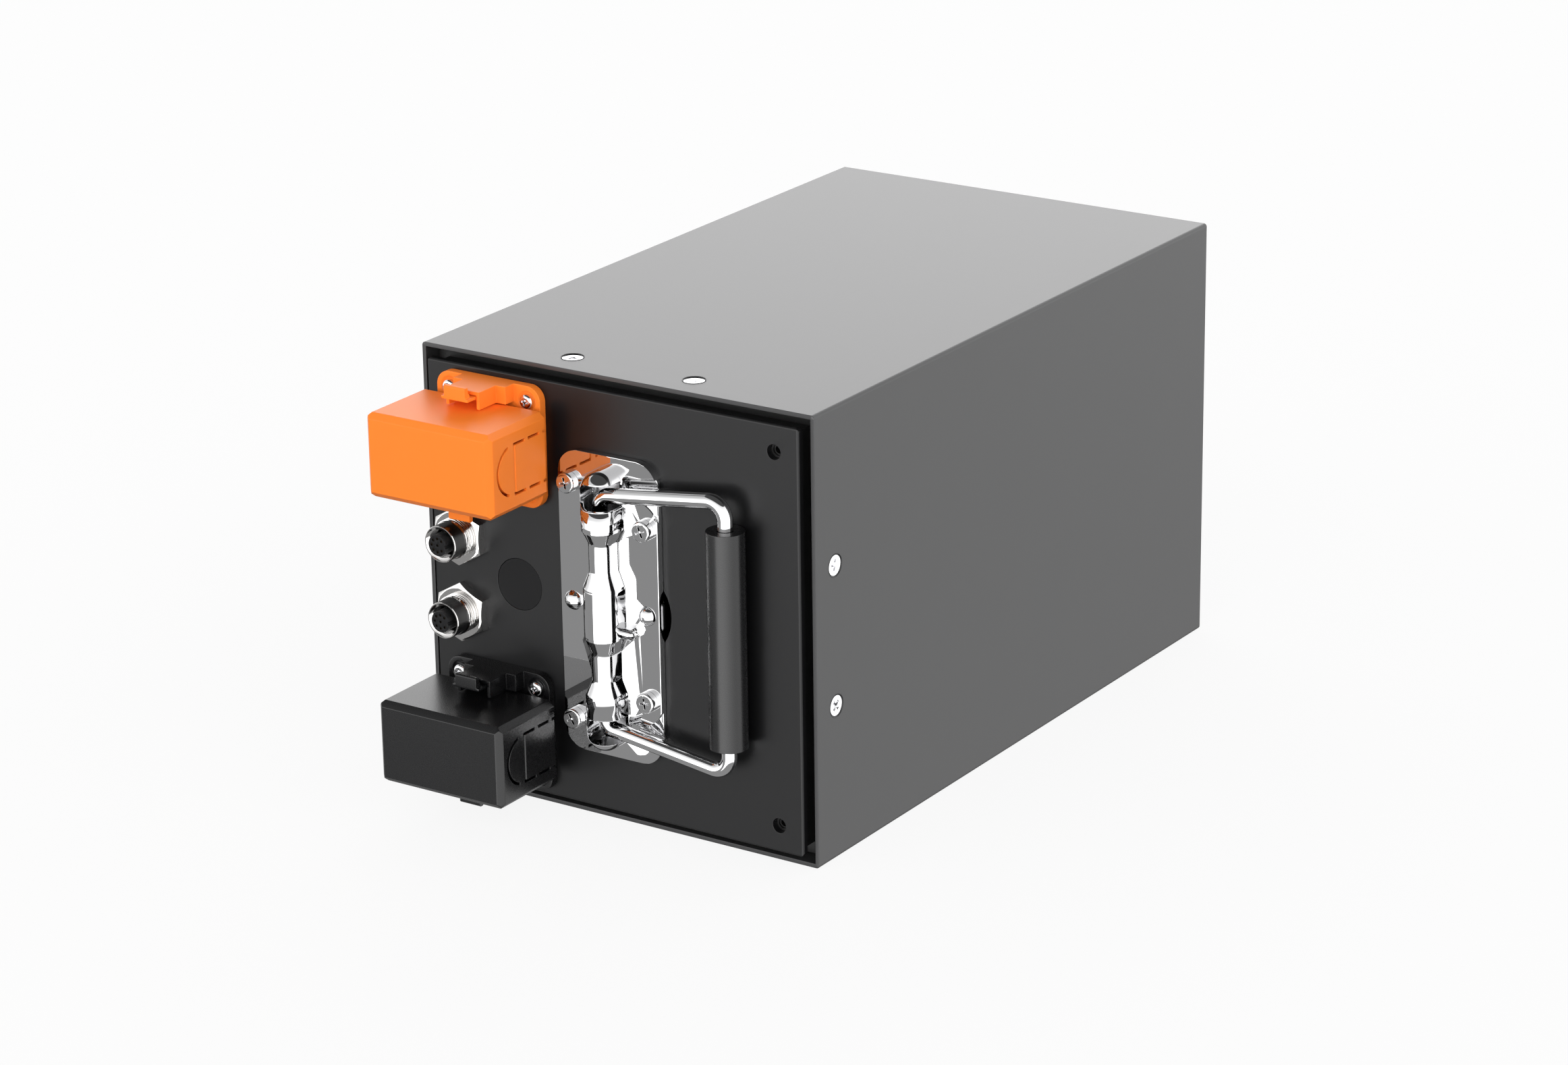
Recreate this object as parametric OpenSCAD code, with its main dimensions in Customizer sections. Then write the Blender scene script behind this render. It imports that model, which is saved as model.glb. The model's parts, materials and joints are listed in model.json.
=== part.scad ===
// Lithium iron phosphate battery module in a square sheet metal case, with a folding handle,
// two covered power terminals and two round signal sockets on its front panel.
// The origin lies under the middle of the case. X runs to the right, Y to the back, Z up.

/* [Case] */
// Width of the case over its walls
case_w = 180; // [176:1:200]
// Height of the case over its walls
case_h = 180; // [178:1:200]
// Length of the case from rim to rim
case_l = 300; // [298:1:330]
// Thickness of the case wall
case_wall = 1.75; // [1.4:0.05:2]
// Radius along the long edges of the case
case_edge_r = 1.4; // [0.6:0.1:2.4]
// Distance of the case screws from the front rim
case_screw_inset = 13.2; // [12:0.1:16]
// Distance between the two case screws of one side
case_screw_pitch = 56; // [50:1:64]

/* [End panels] */
// Thickness of the front and rear panels
panel_t = 3; // [2.5:0.1:4]
// Gap between a panel's edge and the case wall
panel_gap = 3.05; // [2.6:0.05:3.4]
// Height of a panel's face in front of the case rim
panel_proud = 3.4; // [2.8:0.1:4.5]
// Radius of a panel's corners
panel_corner_r = 1.8; // [1.2:0.1:3]
// Round along a panel's outer edge
panel_edge_r = 0.9; // [0.4:0.1:1]
// Distance of the bracket holes from the panel's edges
bracket_inset = 10.8; // [10:0.1:11.5]
// Diameter of the bracket holes in the panel
bracket_hole_d = 5.9; // [5:0.1:6.2]
// Diameter of the service hole behind the handle
service_hole_d = 36.6; // [30:0.2:38]
// Distance of the service hole from the handle's middle
service_hole_x = 7.75; // [6:0.05:9]

/* [Vent plug] */
// Diameter of the vent plug's face
vent_d = 20.8; // [16:0.2:24]
// Distance of the vent plug from the panel's left edge
vent_inset = 40.8; // [39:0.1:44]

/* [Terminals] */
// Distance of both terminals from the panel's left edge
term_inset_x = 31.6; // [30:0.1:33]
// Distance of each terminal from the panel's top or bottom edge
term_inset_z = 26.8; // [26:0.1:28]
// Side of the square base flange
flange_w = 48.8; // [47:0.1:50]
// Thickness of the base flange
flange_t = 3.6; // [3:0.1:4.5]
// Corner radius of the base flange
flange_r = 6; // [4:0.5:7]
// Distance between neighbouring flange screws
flange_screw_pitch = 36.6; // [35:0.1:38]
// Width of the terminal cover
cover_w = 58.9; // [54:0.1:60]
// Height of the terminal cover
cover_h = 33.8; // [32:0.1:34]
// Depth of the terminal cover, rear edge to front
cover_d = 35.2; // [33:0.1:40]
// Gap between the base flange and the cover
cover_gap = 4; // [3:0.1:5]
// Wall of the terminal cover
cover_wall = 1.6; // [1.2:0.1:2]
// Chamfer along the cover's outer edges
cover_chamfer = 2.3; // [1.5:0.1:3]
// Outer radius of the knock-out outline in the cover's sides
knock_r = 10.35; // [8:0.05:12]
// Diameter of the terminal stud
stud_d = 8; // [6:1:8]

/* [Signal sockets] */
// Distance of the sockets from the panel's left edge
socket_inset = 13.7; // [13.2:0.1:14.5]
// Distance between the two sockets
socket_pitch = 31.4; // [27:0.1:34]
// Diameter of the socket's outer thread
socket_thread_d = 16; // [15:0.5:16]
// Width of the socket nut across its flats
socket_nut_af = 21; // [19:0.5:22]
// Number of contacts on the socket's ring
socket_ring_pins = 7; // [4:1:7]

/* [Handle] */
// Width of the handle plate
plate_w = 45.7; // [44:0.1:48]
// Height of the handle plate
plate_h = 122; // [120:1:126]
// Thickness of the handle plate
plate_t = 3.2; // [3:0.1:4]
// Corner radius of the handle plate
plate_r = 10; // [6:0.5:12]
// Diameter of the bail's wire
wire_d = 6.1; // [5:0.1:6.3]
// Distance from the hinge axis to the grip's axis
bail_reach = 56.85; // [50:0.05:60]
// Height of each arm at the hinge, from the handle's middle
arm_root = 46.8; // [46:0.1:47.5]
// Rise of each arm between the hinge and the grip
arm_rise = 7.6; // [5:0.1:9]
// Diameter of the grip
grip_d = 15; // [12:0.1:15.2]
// Length of the grip
grip_l = 86.4; // [70:0.2:88]
// Half width of the barrel at its wide parts
barrel_r = 7.5; // [7.3:0.1:7.9]
// Half width of the barrel at its narrow parts
barrel_neck_r = 5; // [4.6:0.1:5.4]
// Height of the hinge axis above the plate
axis_h = 4.6; // [4.5:0.1:5]

/* [Cells] */
// Number of cells in the stack
cell_count = 8; // [4:1:8]
// Thickness of the pads beside the cells
side_pad_t = 14.25; // [13.5:0.05:18]
// Thickness of one cell
cell_t = 26.7; // [20:0.1:27]
// Room above the cells for the power rails and the control board
rail_room = 48.5; // [47.5:0.1:54]
// Thickness of the sheet between two cells
sheet_t = 0.5; // [0.3:0.1:0.8]
// Distance of each cell post from the cell's side
post_inset = 22; // [18:0.5:24]
// Thickness of the end plates
end_plate_t = 8; // [6:0.5:10]
// Thickness of the pad under the cells
base_pad_t = 3; // [2:0.5:4]

/* [Power rails] */
// Thickness of the copper bars
bar_t = 2; // [1.5:0.1:2.5]
// Width of the copper bars
bar_w = 20; // [16:1:21]

/* [Control board] */
// Length of the control board
board_l = 120; // [100:1:130]
// Distance of the control board from the case wall on its right
board_side = 8.25; // [7:0.05:12]
// Thickness of the control board
board_t = 1.6; // [1.2:0.2:2]
// Number of fins on the heat sink
fin_count = 10; // [6:1:12]

/* [Hidden] */
$fn = 64;
eps = 0.01;
through = 60;
thread_gap = 0.05;
hole_gap = 0.2;
fit_gap = 0.3;
run_gap = 0.05;

mid_z = case_h / 2;
rim_y = -case_l / 2;
face_y = rim_y - panel_proud;
panel_back_y = face_y + panel_t;
case_in_w = case_w - 2 * case_wall;
case_in_h = case_h - 2 * case_wall;
panel_w = case_in_w - 2 * panel_gap;
panel_h = case_in_h - 2 * panel_gap;

frame_fit = 0.25;
frame_w = case_in_w - 2 * frame_fit;
frame_h = case_in_h - 2 * frame_fit;
band_t = 8;
gap_depth = 8.4;
band_l = 16;
land_inset = 2.2;
land_w = panel_w - 2 * land_inset;
land_h = panel_h - 2 * land_inset;
land_side = 13;
land_l = gap_depth + 4;
land_back_y = panel_back_y + land_l;
stud_line = 7.5;
panel_stud_r = 2;
panel_stud_x = 40;
panel_stud_z = 45;
panel_nut_h = 3.2;
panel_nut_af = 7;
panel_stud_tip = 1.4;
panel_screw_len = 12.3;
frame_tap_depth = 12;
socket_notch_side = 4;

m4_r = 2;
m4_head_r = 4.2;
m4_head_sink = 0.25;
m4_rim_r = 4.55;
m4_len = 9.3;
m4_recess = 4.4;
m3_r = 1.5;
m5_r = 2.5;

bracket_x = panel_w / 2 - bracket_inset;
bracket_z = panel_h / 2 - bracket_inset;
insert_r = 3.2;
insert_l = 8;
insert_bore_r = 1.65;
insert_mouth_r = 2.2;
insert_mouth_l = 0.8;

vent_x = vent_inset - panel_w / 2;
vent_sink = 0.15;
vent_ring_gap = 0.15;
vent_lip = 0.9;
vent_lip_t = 1;

term_x = term_inset_x - panel_w / 2;
term_z = panel_h / 2 - term_inset_z;
flange_y = face_y - flange_t;
flange_half = flange_w / 2;
screw_off = flange_screw_pitch / 2;
dish_r = 4.2;
dish_floor_r = 3.2;
dish_d = 0.8;
base_head_r = 2.9;
base_head_h = 2.3;
base_recess = 3;
base_screw_l = flange_t - dish_d + panel_t - 0.2;
bush_r = 11;
bush_hole_gap = 0.3;
bush_tail = 1.5;
boss_h = 2.8;
seal_in_r = 12.6;
seal_out_r = 15;
seal_t = 1.2;
bridge_w = 24.7;
bridge_wide_l = 5.4;
bridge_neck_w = 15.7;
bridge_l = 15.9;
bridge_wall = 1.4;
bridge_top_t = 1.5;
bridge_h = 7;
cover_inner_chamfer = 0.7 * cover_chamfer;
tongue_w = 12.5;
tongue_t = 1.2;
tongue_root_t = 1.4;
tongue_top = flange_half - bridge_top_t - fit_gap;
catch_h = 0.6;
catch_l = 2.4;
catch_front = 1.8;
pad_w = 10;
pad_h = 4.2;
pad_t = 2.2;
pad_foot_t = 3.1;
pad_foot_h = 1.2;
pad_neck_h = 1.9;
pad_edge = 0.45;
pad_lead = 2;
cover_y = flange_y - cover_gap;
knock_slot = 1.05;
knock_centre = 20.5;
knock_webs = [[1.7, 3.7], [10.7, 12.8]];
knock_arc_web = [20, 23.3];
knock_groove = [19, 20.2];
knock_groove_d = 0.4;

stud_r = stud_d / 2;
collar_r = 8;
collar_lead = 0.4;
collar_front = flange_t + boss_h + collar_lead;
stud_front = 29;
stud_tail = 14;
washer_r = 8;
washer_t = 1.6;
power_nut_af = 13;
power_nut_h = 6.5;

socket_x = socket_inset - panel_w / 2;
socket_z = socket_pitch / 2;
socket_thread_r = socket_thread_d / 2;
socket_hole_gap = 0.1;
socket_nut_h = 4;
socket_thread_l = 8.3;
socket_collar = 1.1;
socket_sleeve_r = 7.25;
socket_l = 14.1;
socket_bore_r = 5.3;
socket_chamfer = 0.4;
socket_shelf = 7;
socket_flange_r = 10;
socket_flange_t = 3;
socket_seal_t = 1;
socket_tail_r = 6.5;
socket_tail = 12;
socket_back = -panel_t - socket_seal_t - socket_flange_t;
insert_face_r = 4.3;
insert_face = 15.9;
insert_step_r = 5.2;
pin_ring_r = 2.75;
pin_hole_r = 0.5;
pin_r = 0.45;
pin_bore_r = 0.25;
pin_sink = 1;
pin_bore_l = 6;
key_r = 0.75;

handle_x = 0.65;
plate_y = face_y - plate_t;
axis_y = plate_y - axis_h;
wire_r = wire_d / 2;
grip_r = grip_d / 2;
grip_half = grip_l / 2;
barrel_end = 56.3;
barrel_steps = [10, 16.2, 27.9, 33.4];
barrel_wall = 1.4;
cavity_r = barrel_r - barrel_wall;
cavity_mid = 9.6;
cavity_ends = [33.9, 50.8];
slot_span = [42.2, 52.2];
slot_left = 1;
slot_floor = 0.3;
plate_sink = 1;
keeper_block_l = 10;
keeper_block_z = (barrel_steps[1] + barrel_steps[2]) / 2;
stub_end = 1.2;
root_bend = 5;
grip_bend = 6.5;
bend_lap = 0.2;
bend_swell = 0.01;
keeper_t = 1.4;
keeper_w = 17;
keeper_l = 100;
keeper_ear_w = 12;
keeper_r = 2;
keeper_room_gap = 0.15;
rivet_x = 17.2;
rivet_r = 2;
rivet_head_r = 3.9;
rivet_head_h = 2.6;
plate_screws = [[-17.45, 48], [-17.45, -48], [17.05, 34.6], [17.05, -34.6]];
plate_head_r = 4.15;
plate_head_h = 3.4;
m5_nut_af = 8;
m5_nut_h = 4;
m5_len = plate_t + panel_t + m5_nut_h + 1;
m5_recess = 4.4;
bump_z = -7.7;
bump_r = 2.1;
bump_h = 3;
bump_reach = 11.6;
relief_d = 1.2;
relief_x = 8;
relief_out = [53, 55.2];
relief_arc = [11.9, 33.5, 12];
spring_r = 4.6;
spring_wire_r = 0.7;
spring_turns = 5;
spring_pitch = 1.6;
spring_steps = 18;
spring_sides = 8;

cell_w = case_in_w - 2 * side_pad_t;
cell_z = case_wall + base_pad_t;
cell_top = case_h - case_wall - rail_room;
cell_h = cell_top - cell_z;
post_x = cell_w / 2 - post_inset;
post_r = 8;
post_h = 3.5;
post_top = cell_top + post_h;
stack_l = cell_count * cell_t + (cell_count - 1) * sheet_t;
stack_front = 50;
stack_y = rim_y + stack_front;
stack_end = stack_y + stack_l;
cell_step = cell_t + sheet_t;
first_cell_y = stack_y + cell_t / 2;
last_cell_y = stack_end - cell_t / 2;
strap_t = 1.2;
strap_w = 20;
strap_rise = 30;
strap_drop = 24.75;
strap_z = [strap_rise, cell_top - strap_drop];
strap_screw_r = 2;
strap_screw_l = 12;
strap_head_r = 3.5;
strap_head_h = 2.2;
strap_recess = 3.6;
strap_screw_y = [stack_y - end_plate_t / 2, stack_end + end_plate_t / 2];
side_pad_rise = 45;
side_pad_drop = 39.75;
side_pad_z = [side_pad_rise, cell_top - side_pad_drop];
side_pad_end = 5;
stop_w = 12;
stop_x = frame_w / 2 - band_t - fit_gap - stop_w / 2;
stop_z = [(case_h - frame_h) / 2 + band_t + fit_gap, cell_top - stop_w];

link_t = 1.6;
link_w = 20;
tray_t = 2;
tray_rim_t = 1.6;
tray_w = cell_w - 2;
tray_end = 1;
tray_hole_gap = 0.3;
tray_h = 13.25;
lid_z = cell_top + tray_h;
lid_t = 1.5;
lid_top = lid_z + lid_t;
strip_w = 12;
strip_t = 0.4;
strip_arm_w = 4;
strip_y = post_top + link_t;
window_gap = 1;

rail_rise = 1;
rail_top = mid_z + term_z + bar_w / 2 + rail_rise;
rail_bottom = rail_top - bar_t;
fuse_w = 23;
fuse_pitch = 40;
fuse_x = -post_x;
fuse_inset = 5;
fuse_front = stack_y + fuse_inset;
fuse_back = fuse_front + fuse_pitch;
fuse_margin = 8;
fuse_blade_t = 1.5;
fuse_body_w = 15;
fuse_body_l = 24;
fuse_body_h = 9;
fuse_bolt_r = 3;
fuse_bolt_l = 12;
fuse_bolt_grip = 11;
fuse_head_af = 10;
fuse_head_h = 4;
bar_gap = 2.4;
bar_y = panel_back_y + bar_gap;
bar_seat = bar_y - face_y;
riser_y = last_cell_y + post_r - bar_t;
tap_x = 10;
tap_w = 15;
board_tab_l = 10;
board_gap = 10.5;
board_y = -10;
board_rise = 7.6;
board_z = lid_top + board_rise;
board_left = fuse_x + fuse_w / 2 + board_gap;
board_right = case_in_w / 2 - board_side;
board_w = board_right - board_left;
board_x = (board_left + board_right) / 2;
board_front = board_y - board_l / 2;
board_back = board_y + board_l / 2;
board_top = board_z + board_t;
standoff_r = 2.5;
standoff_inset = 5;
board_screw_r = 1.25;
board_screw_l = board_t + 4;
standoff_floor = 1;
board_head_r = 2.5;
board_head_h = 1.8;
board_recess = 2.4;
chip_w = 10;
chip_l = 14;
chip_h = 4.8;
chip_rows = [-25, 25];
chip_pitch = 17;
chip_count = 4;
sink_w = 74;
sink_l = 92;
sink_base_t = 3;
fin_t = 1.5;
fin_h = 10;
sink_notch_w = 24;
sink_notch_l = 8;
plug_w = 22;
plug_l = 16;
plug_h = 6.6;
plug_inset = 14;
plug_x = board_left + plug_inset;
plug_side = 5;
plug_front = 6;
plug_wire_z = board_top + plug_h / 2;
strip_gap = 10;
strip_rise = board_back + strip_gap;
lead_r = 2.4;
lead_bend = 10;
lead_gap = 8;
lead_reach = 26;
lead_y = panel_back_y + lead_reach;
lead_start = panel_back_y + socket_seal_t + socket_tail;
lead_end = board_front - plug_front;
drop_x = 52;
drop_w = 15;
drop_gap = 9;
drop_y = stack_y - end_plate_t - drop_gap;

// Local x stays x, local y points up and local z points to the front, from the plane at y
module forward_from(y) {
    translate([0, y, mid_z]) rotate([90, 0, 0]) children();
}

// Local z points to the back, from the plane at y
module backward_from(y) {
    translate([0, y, mid_z]) rotate([-90, 0, 0]) children();
}

module rounded_square(w, h, r) {
    square([w - 2 * r, h], center = true);
    square([w, h - 2 * r], center = true);
    for (sx = [-1, 1], sy = [-1, 1])
        translate([sx * (w / 2 - r), sy * (h / 2 - r)]) circle(r);
}

module slab(w, h, t, r) {
    linear_extrude(t) rounded_square(w, h, r);
}

module hexagon(af, h) {
    cylinder(d = af / cos(30), h = h, $fn = 6);
}

module cross_recess(span, width, depth) {
    translate([-span / 2, -width / 2, -depth]) cube([span, width, depth + 1]);
    translate([-width / 2, -span / 2, -depth]) cube([width, span, depth + 1]);
}

// Pan head screw with its seat at z = 0 and its head on the +z side
module pan_screw(r, length, head_r, head_h, recess) {
    edge = head_h * 0.45;
    difference() {
        union() {
            translate([0, 0, -length]) cylinder(r = r, h = length);
            cylinder(r = head_r, h = head_h - edge);
            translate([0, 0, head_h - edge]) cylinder(r1 = head_r, r2 = head_r - edge, h = edge);
        }
        translate([0, 0, head_h]) cross_recess(recess, recess / 4, head_h * 0.5);
    }
}

// Countersunk screw with its head's face at z = 0
module flat_screw(r, length, head_r, recess) {
    difference() {
        union() {
            translate([0, 0, r - head_r]) cylinder(r1 = r, r2 = head_r, h = head_r - r);
            translate([0, 0, -length]) cylinder(r = r, h = length - head_r + r);
        }
        cross_recess(recess, recess / 5, 1.4);
    }
}

// A countersink and its hole, open at z = 0, for flat_screw set sink below the surface
module flat_screw_hole(r, head_r, rim_r, sink, depth) {
    clear_r = r + thread_gap;
    reach = rim_r - clear_r;
    translate([0, 0, -sink - depth]) cylinder(r = clear_r, h = depth + sink + 1);
    translate([0, 0, -reach]) cylinder(r1 = clear_r, r2 = rim_r, h = reach);
    translate([0, 0, -eps]) cylinder(r = rim_r, h = 1);
}

function side_half(turn) = turn % 180 == 0 ? case_h / 2 : case_w / 2;

module at_case_screws() {
    for (turn = [0 : 90 : 270], side = [-1, 1])
        translate([0, rim_y + case_screw_inset, mid_z])
            rotate([0, turn, 0])
                translate([side * case_screw_pitch / 2, 0, side_half(turn)])
                    children();
}

module at_terminal(sign) {
    translate([term_x, sign * term_z, 0]) children();
}

module at_flange_screws() {
    for (sx = [-1, 1], sz = [-1, 1])
        translate([sx * screw_off, sz * screw_off, 0]) children();
}

module at_sockets() {
    for (sz = [-1, 1])
        translate([socket_x, sz * socket_z, 0]) children();
}

module at_plate_screws() {
    for (p = plate_screws)
        translate([handle_x + p[0], p[1], 0]) children();
}

module at_panel_studs() {
    for (sz = [-1, 1], x = [-panel_stud_x, panel_stud_x])
        translate([x, sz * (land_h / 2 - stud_line), 0]) children();
    for (sx = [-1, 1], z = [-panel_stud_z, panel_stud_z])
        translate([sx * (land_w / 2 - stud_line), z, 0]) children();
}

// Case and end frames

module case_sleeve() {
    color("silver") difference() {
        translate([0, rim_y, mid_z]) rotate([-90, 0, 0]) difference() {
            slab(case_w, case_h, case_l, case_edge_r);
            translate([0, 0, -1])
                linear_extrude(case_l + 2) square([case_in_w, case_in_h], center = true);
        }
        at_case_screws() flat_screw_hole(m4_r, m4_head_r, m4_rim_r, m4_head_sink, 2 * case_wall);
    }
}

module case_screws() {
    color("gainsboro")
        at_case_screws() translate([0, 0, -m4_head_sink]) flat_screw(m4_r, m4_len, m4_head_r, m4_recess);
}

// Ring that carries an end panel at z = 0 and reaches into the case
module end_frame() {
    difference() {
        union() {
            difference() {
                linear_extrude(land_l) square([land_w, land_h], center = true);
                translate([0, 0, -1])
                    linear_extrude(land_l + 2)
                        square([land_w - 2 * land_side, land_h - 2 * land_side], center = true);
            }
            translate([0, 0, gap_depth]) difference() {
                linear_extrude(band_l) square([frame_w, frame_h], center = true);
                translate([0, 0, -1])
                    linear_extrude(band_l + 2)
                        square([frame_w - 2 * band_t, frame_h - 2 * band_t], center = true);
            }
        }
        at_panel_studs() translate([0, 0, -1]) cylinder(r = panel_stud_r + hole_gap, h = land_l + 2);
    }
}

module front_frame() {
    socket_room_h = socket_pitch + 2 * socket_flange_r + 2;
    socket_room_w = land_side + 2;
    color("dimgray") difference() {
        backward_from(panel_back_y) end_frame();
        at_case_screws() flat_screw_hole(m4_r, m4_head_r, m4_rim_r, m4_head_sink, frame_tap_depth);
        backward_from(panel_back_y) {
            translate([-land_w / 2 - 1, -socket_room_h / 2, -1])
                cube([socket_room_w, socket_room_h, gap_depth + 1]);
            translate([-land_w / 2 + socket_notch_side, -socket_room_h / 2, -1])
                cube([socket_room_w - socket_notch_side, socket_room_h, land_l + 2]);
            for (sz = [-1, 1])
                translate([bracket_x, sz * bracket_z, -1]) cylinder(r = insert_r, h = insert_l + 1);
        }
    }
}

module rear_frame() {
    color("dimgray") forward_from(-panel_back_y) end_frame();
}

// End panels

// Plate with its outer edge rounded at z = panel_t
module panel_plate() {
    difference() {
        slab(panel_w, panel_h, panel_t, panel_corner_r);
        for (turn = [0 : 90 : 270]) {
            reach = turn % 180 == 0 ? panel_h / 2 : panel_w / 2;
            rotate([0, 0, turn]) translate([-panel_w, reach - panel_edge_r, panel_t - panel_edge_r])
                rotate([90, 0, 90])
                    linear_extrude(2 * panel_w) difference() {
                        square(panel_edge_r + 1);
                        circle(panel_edge_r);
                    }
        }
    }
}

module front_panel() {
    color("darkslategray") forward_from(panel_back_y) difference() {
        panel_plate();
        translate([0, 0, -1]) linear_extrude(panel_t + 2) {
            for (sz = [-1, 1])
                translate([bracket_x, sz * bracket_z]) circle(d = bracket_hole_d);
            for (sign = [-1, 1])
                at_terminal(sign) {
                    circle(bush_r + bush_hole_gap);
                    at_flange_screws() circle(m3_r + thread_gap);
                }
            at_sockets() circle(socket_thread_r + socket_hole_gap);
            translate([vent_x, 0]) circle(vent_d / 2 + vent_ring_gap);
            translate([handle_x + service_hole_x, 0]) circle(d = service_hole_d);
            at_plate_screws() circle(m5_r + thread_gap);
        }
    }
}

module rear_panel() {
    color("darkslategray") backward_from(-panel_back_y) difference() {
        panel_plate();
        at_panel_studs() translate([0, 0, panel_t])
            flat_screw_hole(m4_r, m4_head_r, m4_rim_r, m4_head_sink, panel_t + 1);
    }
}

module panel_studs() {
    color("silver") backward_from(panel_back_y)
        at_panel_studs() cylinder(r = panel_stud_r, h = land_l + panel_nut_h + panel_stud_tip);
}

module panel_nuts() {
    color("gainsboro") backward_from(land_back_y)
        at_panel_studs() difference() {
            hexagon(panel_nut_af, panel_nut_h);
            translate([0, 0, -1]) cylinder(r = panel_stud_r + thread_gap, h = panel_nut_h + 2);
        }
}

module rear_panel_screws() {
    color("gainsboro") backward_from(-face_y)
        at_panel_studs() translate([0, 0, -m4_head_sink])
            flat_screw(m4_r, panel_screw_len, m4_head_r, m4_recess);
}

module bracket_inserts() {
    color("#2a2a2a") backward_from(panel_back_y)
        for (sz = [-1, 1])
            translate([bracket_x, sz * bracket_z, 0]) difference() {
                cylinder(r = insert_r, h = insert_l);
                translate([0, 0, -1]) cylinder(r = insert_bore_r, h = insert_l + 2);
                translate([0, 0, -1]) cylinder(r = insert_mouth_r, h = insert_mouth_l + 1);
            }
}

module vent_plug() {
    color("black") forward_from(panel_back_y) translate([vent_x, 0, 0]) {
        cylinder(d = vent_d, h = panel_t - vent_sink);
        translate([0, 0, -vent_lip_t]) cylinder(r = vent_d / 2 + vent_lip, h = vent_lip_t);
    }
}

// Terminals

// Channel of the bridge's outline, from the flange's face forward
module bridge_outline(side_cut, front) {
    wide = bridge_w / 2 - side_cut;
    neck = bridge_neck_w / 2 - side_cut;
    polygon([[-wide, -1], [wide, -1], [wide, bridge_wide_l - side_cut], [neck, bridge_wide_l - side_cut],
        [neck, front], [-neck, front], [-neck, bridge_wide_l - side_cut],
        [-wide, bridge_wide_l - side_cut]]);
}

// Bridge on the flange's upper edge; the latch tongue runs under it
module bridge() {
    difference() {
        translate([0, flange_half, flange_t]) rotate([90, 0, 0])
            linear_extrude(bridge_h) bridge_outline(0, bridge_l);
        translate([0, flange_half - bridge_top_t, flange_t]) rotate([90, 0, 0])
            linear_extrude(bridge_h) difference() {
                bridge_outline(bridge_wall, bridge_l + 1);
                translate([-bridge_w, -2]) square([2 * bridge_w, 2]);
            }
        translate([-tongue_w / 4 - fit_gap, flange_half - bridge_top_t - 1,
            flange_t + bridge_l - catch_front - catch_l - 2 * fit_gap])
            cube([tongue_w / 2 + 2 * fit_gap, 1 + catch_h, catch_l + 2 * fit_gap]);
    }
}

module terminal_base(sign) {
    forward_from(face_y) at_terminal(sign) difference() {
        union() {
            slab(flange_w, flange_w, flange_t, flange_r);
            translate([0, 0, -panel_t - bush_tail]) cylinder(r = bush_r, h = panel_t + bush_tail + eps);
            translate([0, 0, flange_t - eps]) cylinder(r = bush_r, h = boss_h + eps);
            bridge();
            rotate([0, 0, 180]) bridge();
        }
        translate([0, 0, -panel_t - bush_tail - 1]) cylinder(r = collar_r, h = through);
        translate([0, 0, -1]) linear_extrude(seal_t + 1) difference() {
            circle(seal_out_r);
            circle(seal_in_r);
        }
        at_flange_screws() {
            translate([0, 0, -1]) cylinder(r = m3_r + hole_gap, h = flange_t + 2);
            translate([0, 0, flange_t - dish_d]) cylinder(r1 = dish_floor_r, r2 = dish_r, h = dish_d + eps);
        }
    }
}

module positive_base() {
    color("darkorange") terminal_base(1);
}

module negative_base() {
    color("#222222") terminal_base(-1);
}

// Box with chamfers along its long edges and round its front, from z = 0 to z = d
module chamfered_box(w, h, d, c) {
    intersection() {
        linear_extrude(d) polygon([[-w / 2 + c, -h / 2], [w / 2 - c, -h / 2], [w / 2, -h / 2 + c],
            [w / 2, h / 2 - c], [w / 2 - c, h / 2], [-w / 2 + c, h / 2],
            [-w / 2, h / 2 - c], [-w / 2, -h / 2 + c]]);
        translate([0, h, 0]) rotate([90, 0, 0]) linear_extrude(2 * h)
            polygon([[-w / 2, -1], [w / 2, -1], [w / 2, d - c], [w / 2 - c, d],
                [-w / 2 + c, d], [-w / 2, d - c]]);
        translate([-w, 0, 0]) rotate([90, 0, 90]) linear_extrude(2 * w)
            polygon([[-h / 2, -1], [h / 2, -1], [h / 2, d - c], [h / 2 - c, d],
                [-h / 2 + c, d], [-h / 2, d - c]]);
    }
}

// Interrupted slot that outlines a knock-out, drawn with x forward and y up
module knock_outline() {
    difference() {
        union() {
            for (sy = [-1, 1])
                translate([-1, sy * (knock_r - knock_slot / 2) - knock_slot / 2])
                    square([knock_centre + 1, knock_slot]);
            translate([knock_centre, 0]) difference() {
                circle(knock_r);
                circle(knock_r - knock_slot);
                translate([-2 * knock_r, -knock_r]) square([2 * knock_r, 2 * knock_r]);
            }
        }
        for (web = concat(knock_webs, [knock_arc_web]))
            translate([web[0], -knock_r - 1]) square([web[1] - web[0], 2 * knock_r + 2]);
    }
}

// Latch tongue on the cover's upper side, with a press pad and a catch
module latch_tongue() {
    reach = bridge_l - cover_gap + pad_lead + pad_foot_t;
    root_z = cover_h / 2 - cover_wall;
    translate([-tongue_w / 2, root_z, 0]) cube([tongue_w, tongue_top - root_z, tongue_root_t]);
    translate([-tongue_w / 2, tongue_top - tongue_t, 0]) cube([tongue_w, tongue_t, reach]);
    translate([-tongue_w / 4, tongue_top - eps, bridge_l - cover_gap - catch_front - catch_l - fit_gap])
        cube([tongue_w / 2, catch_h - fit_gap + eps, catch_l]);
    translate([-pad_w / 2, tongue_top - eps, reach]) rotate([0, 90, 0]) linear_extrude(pad_w)
        polygon([[0, 0], [pad_foot_t, 0], [pad_foot_t, pad_foot_h], [pad_t, pad_neck_h],
            [pad_t, pad_h - pad_edge], [pad_t - pad_edge, pad_h], [pad_edge, pad_h], [0, pad_h - pad_edge]]);
}

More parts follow.
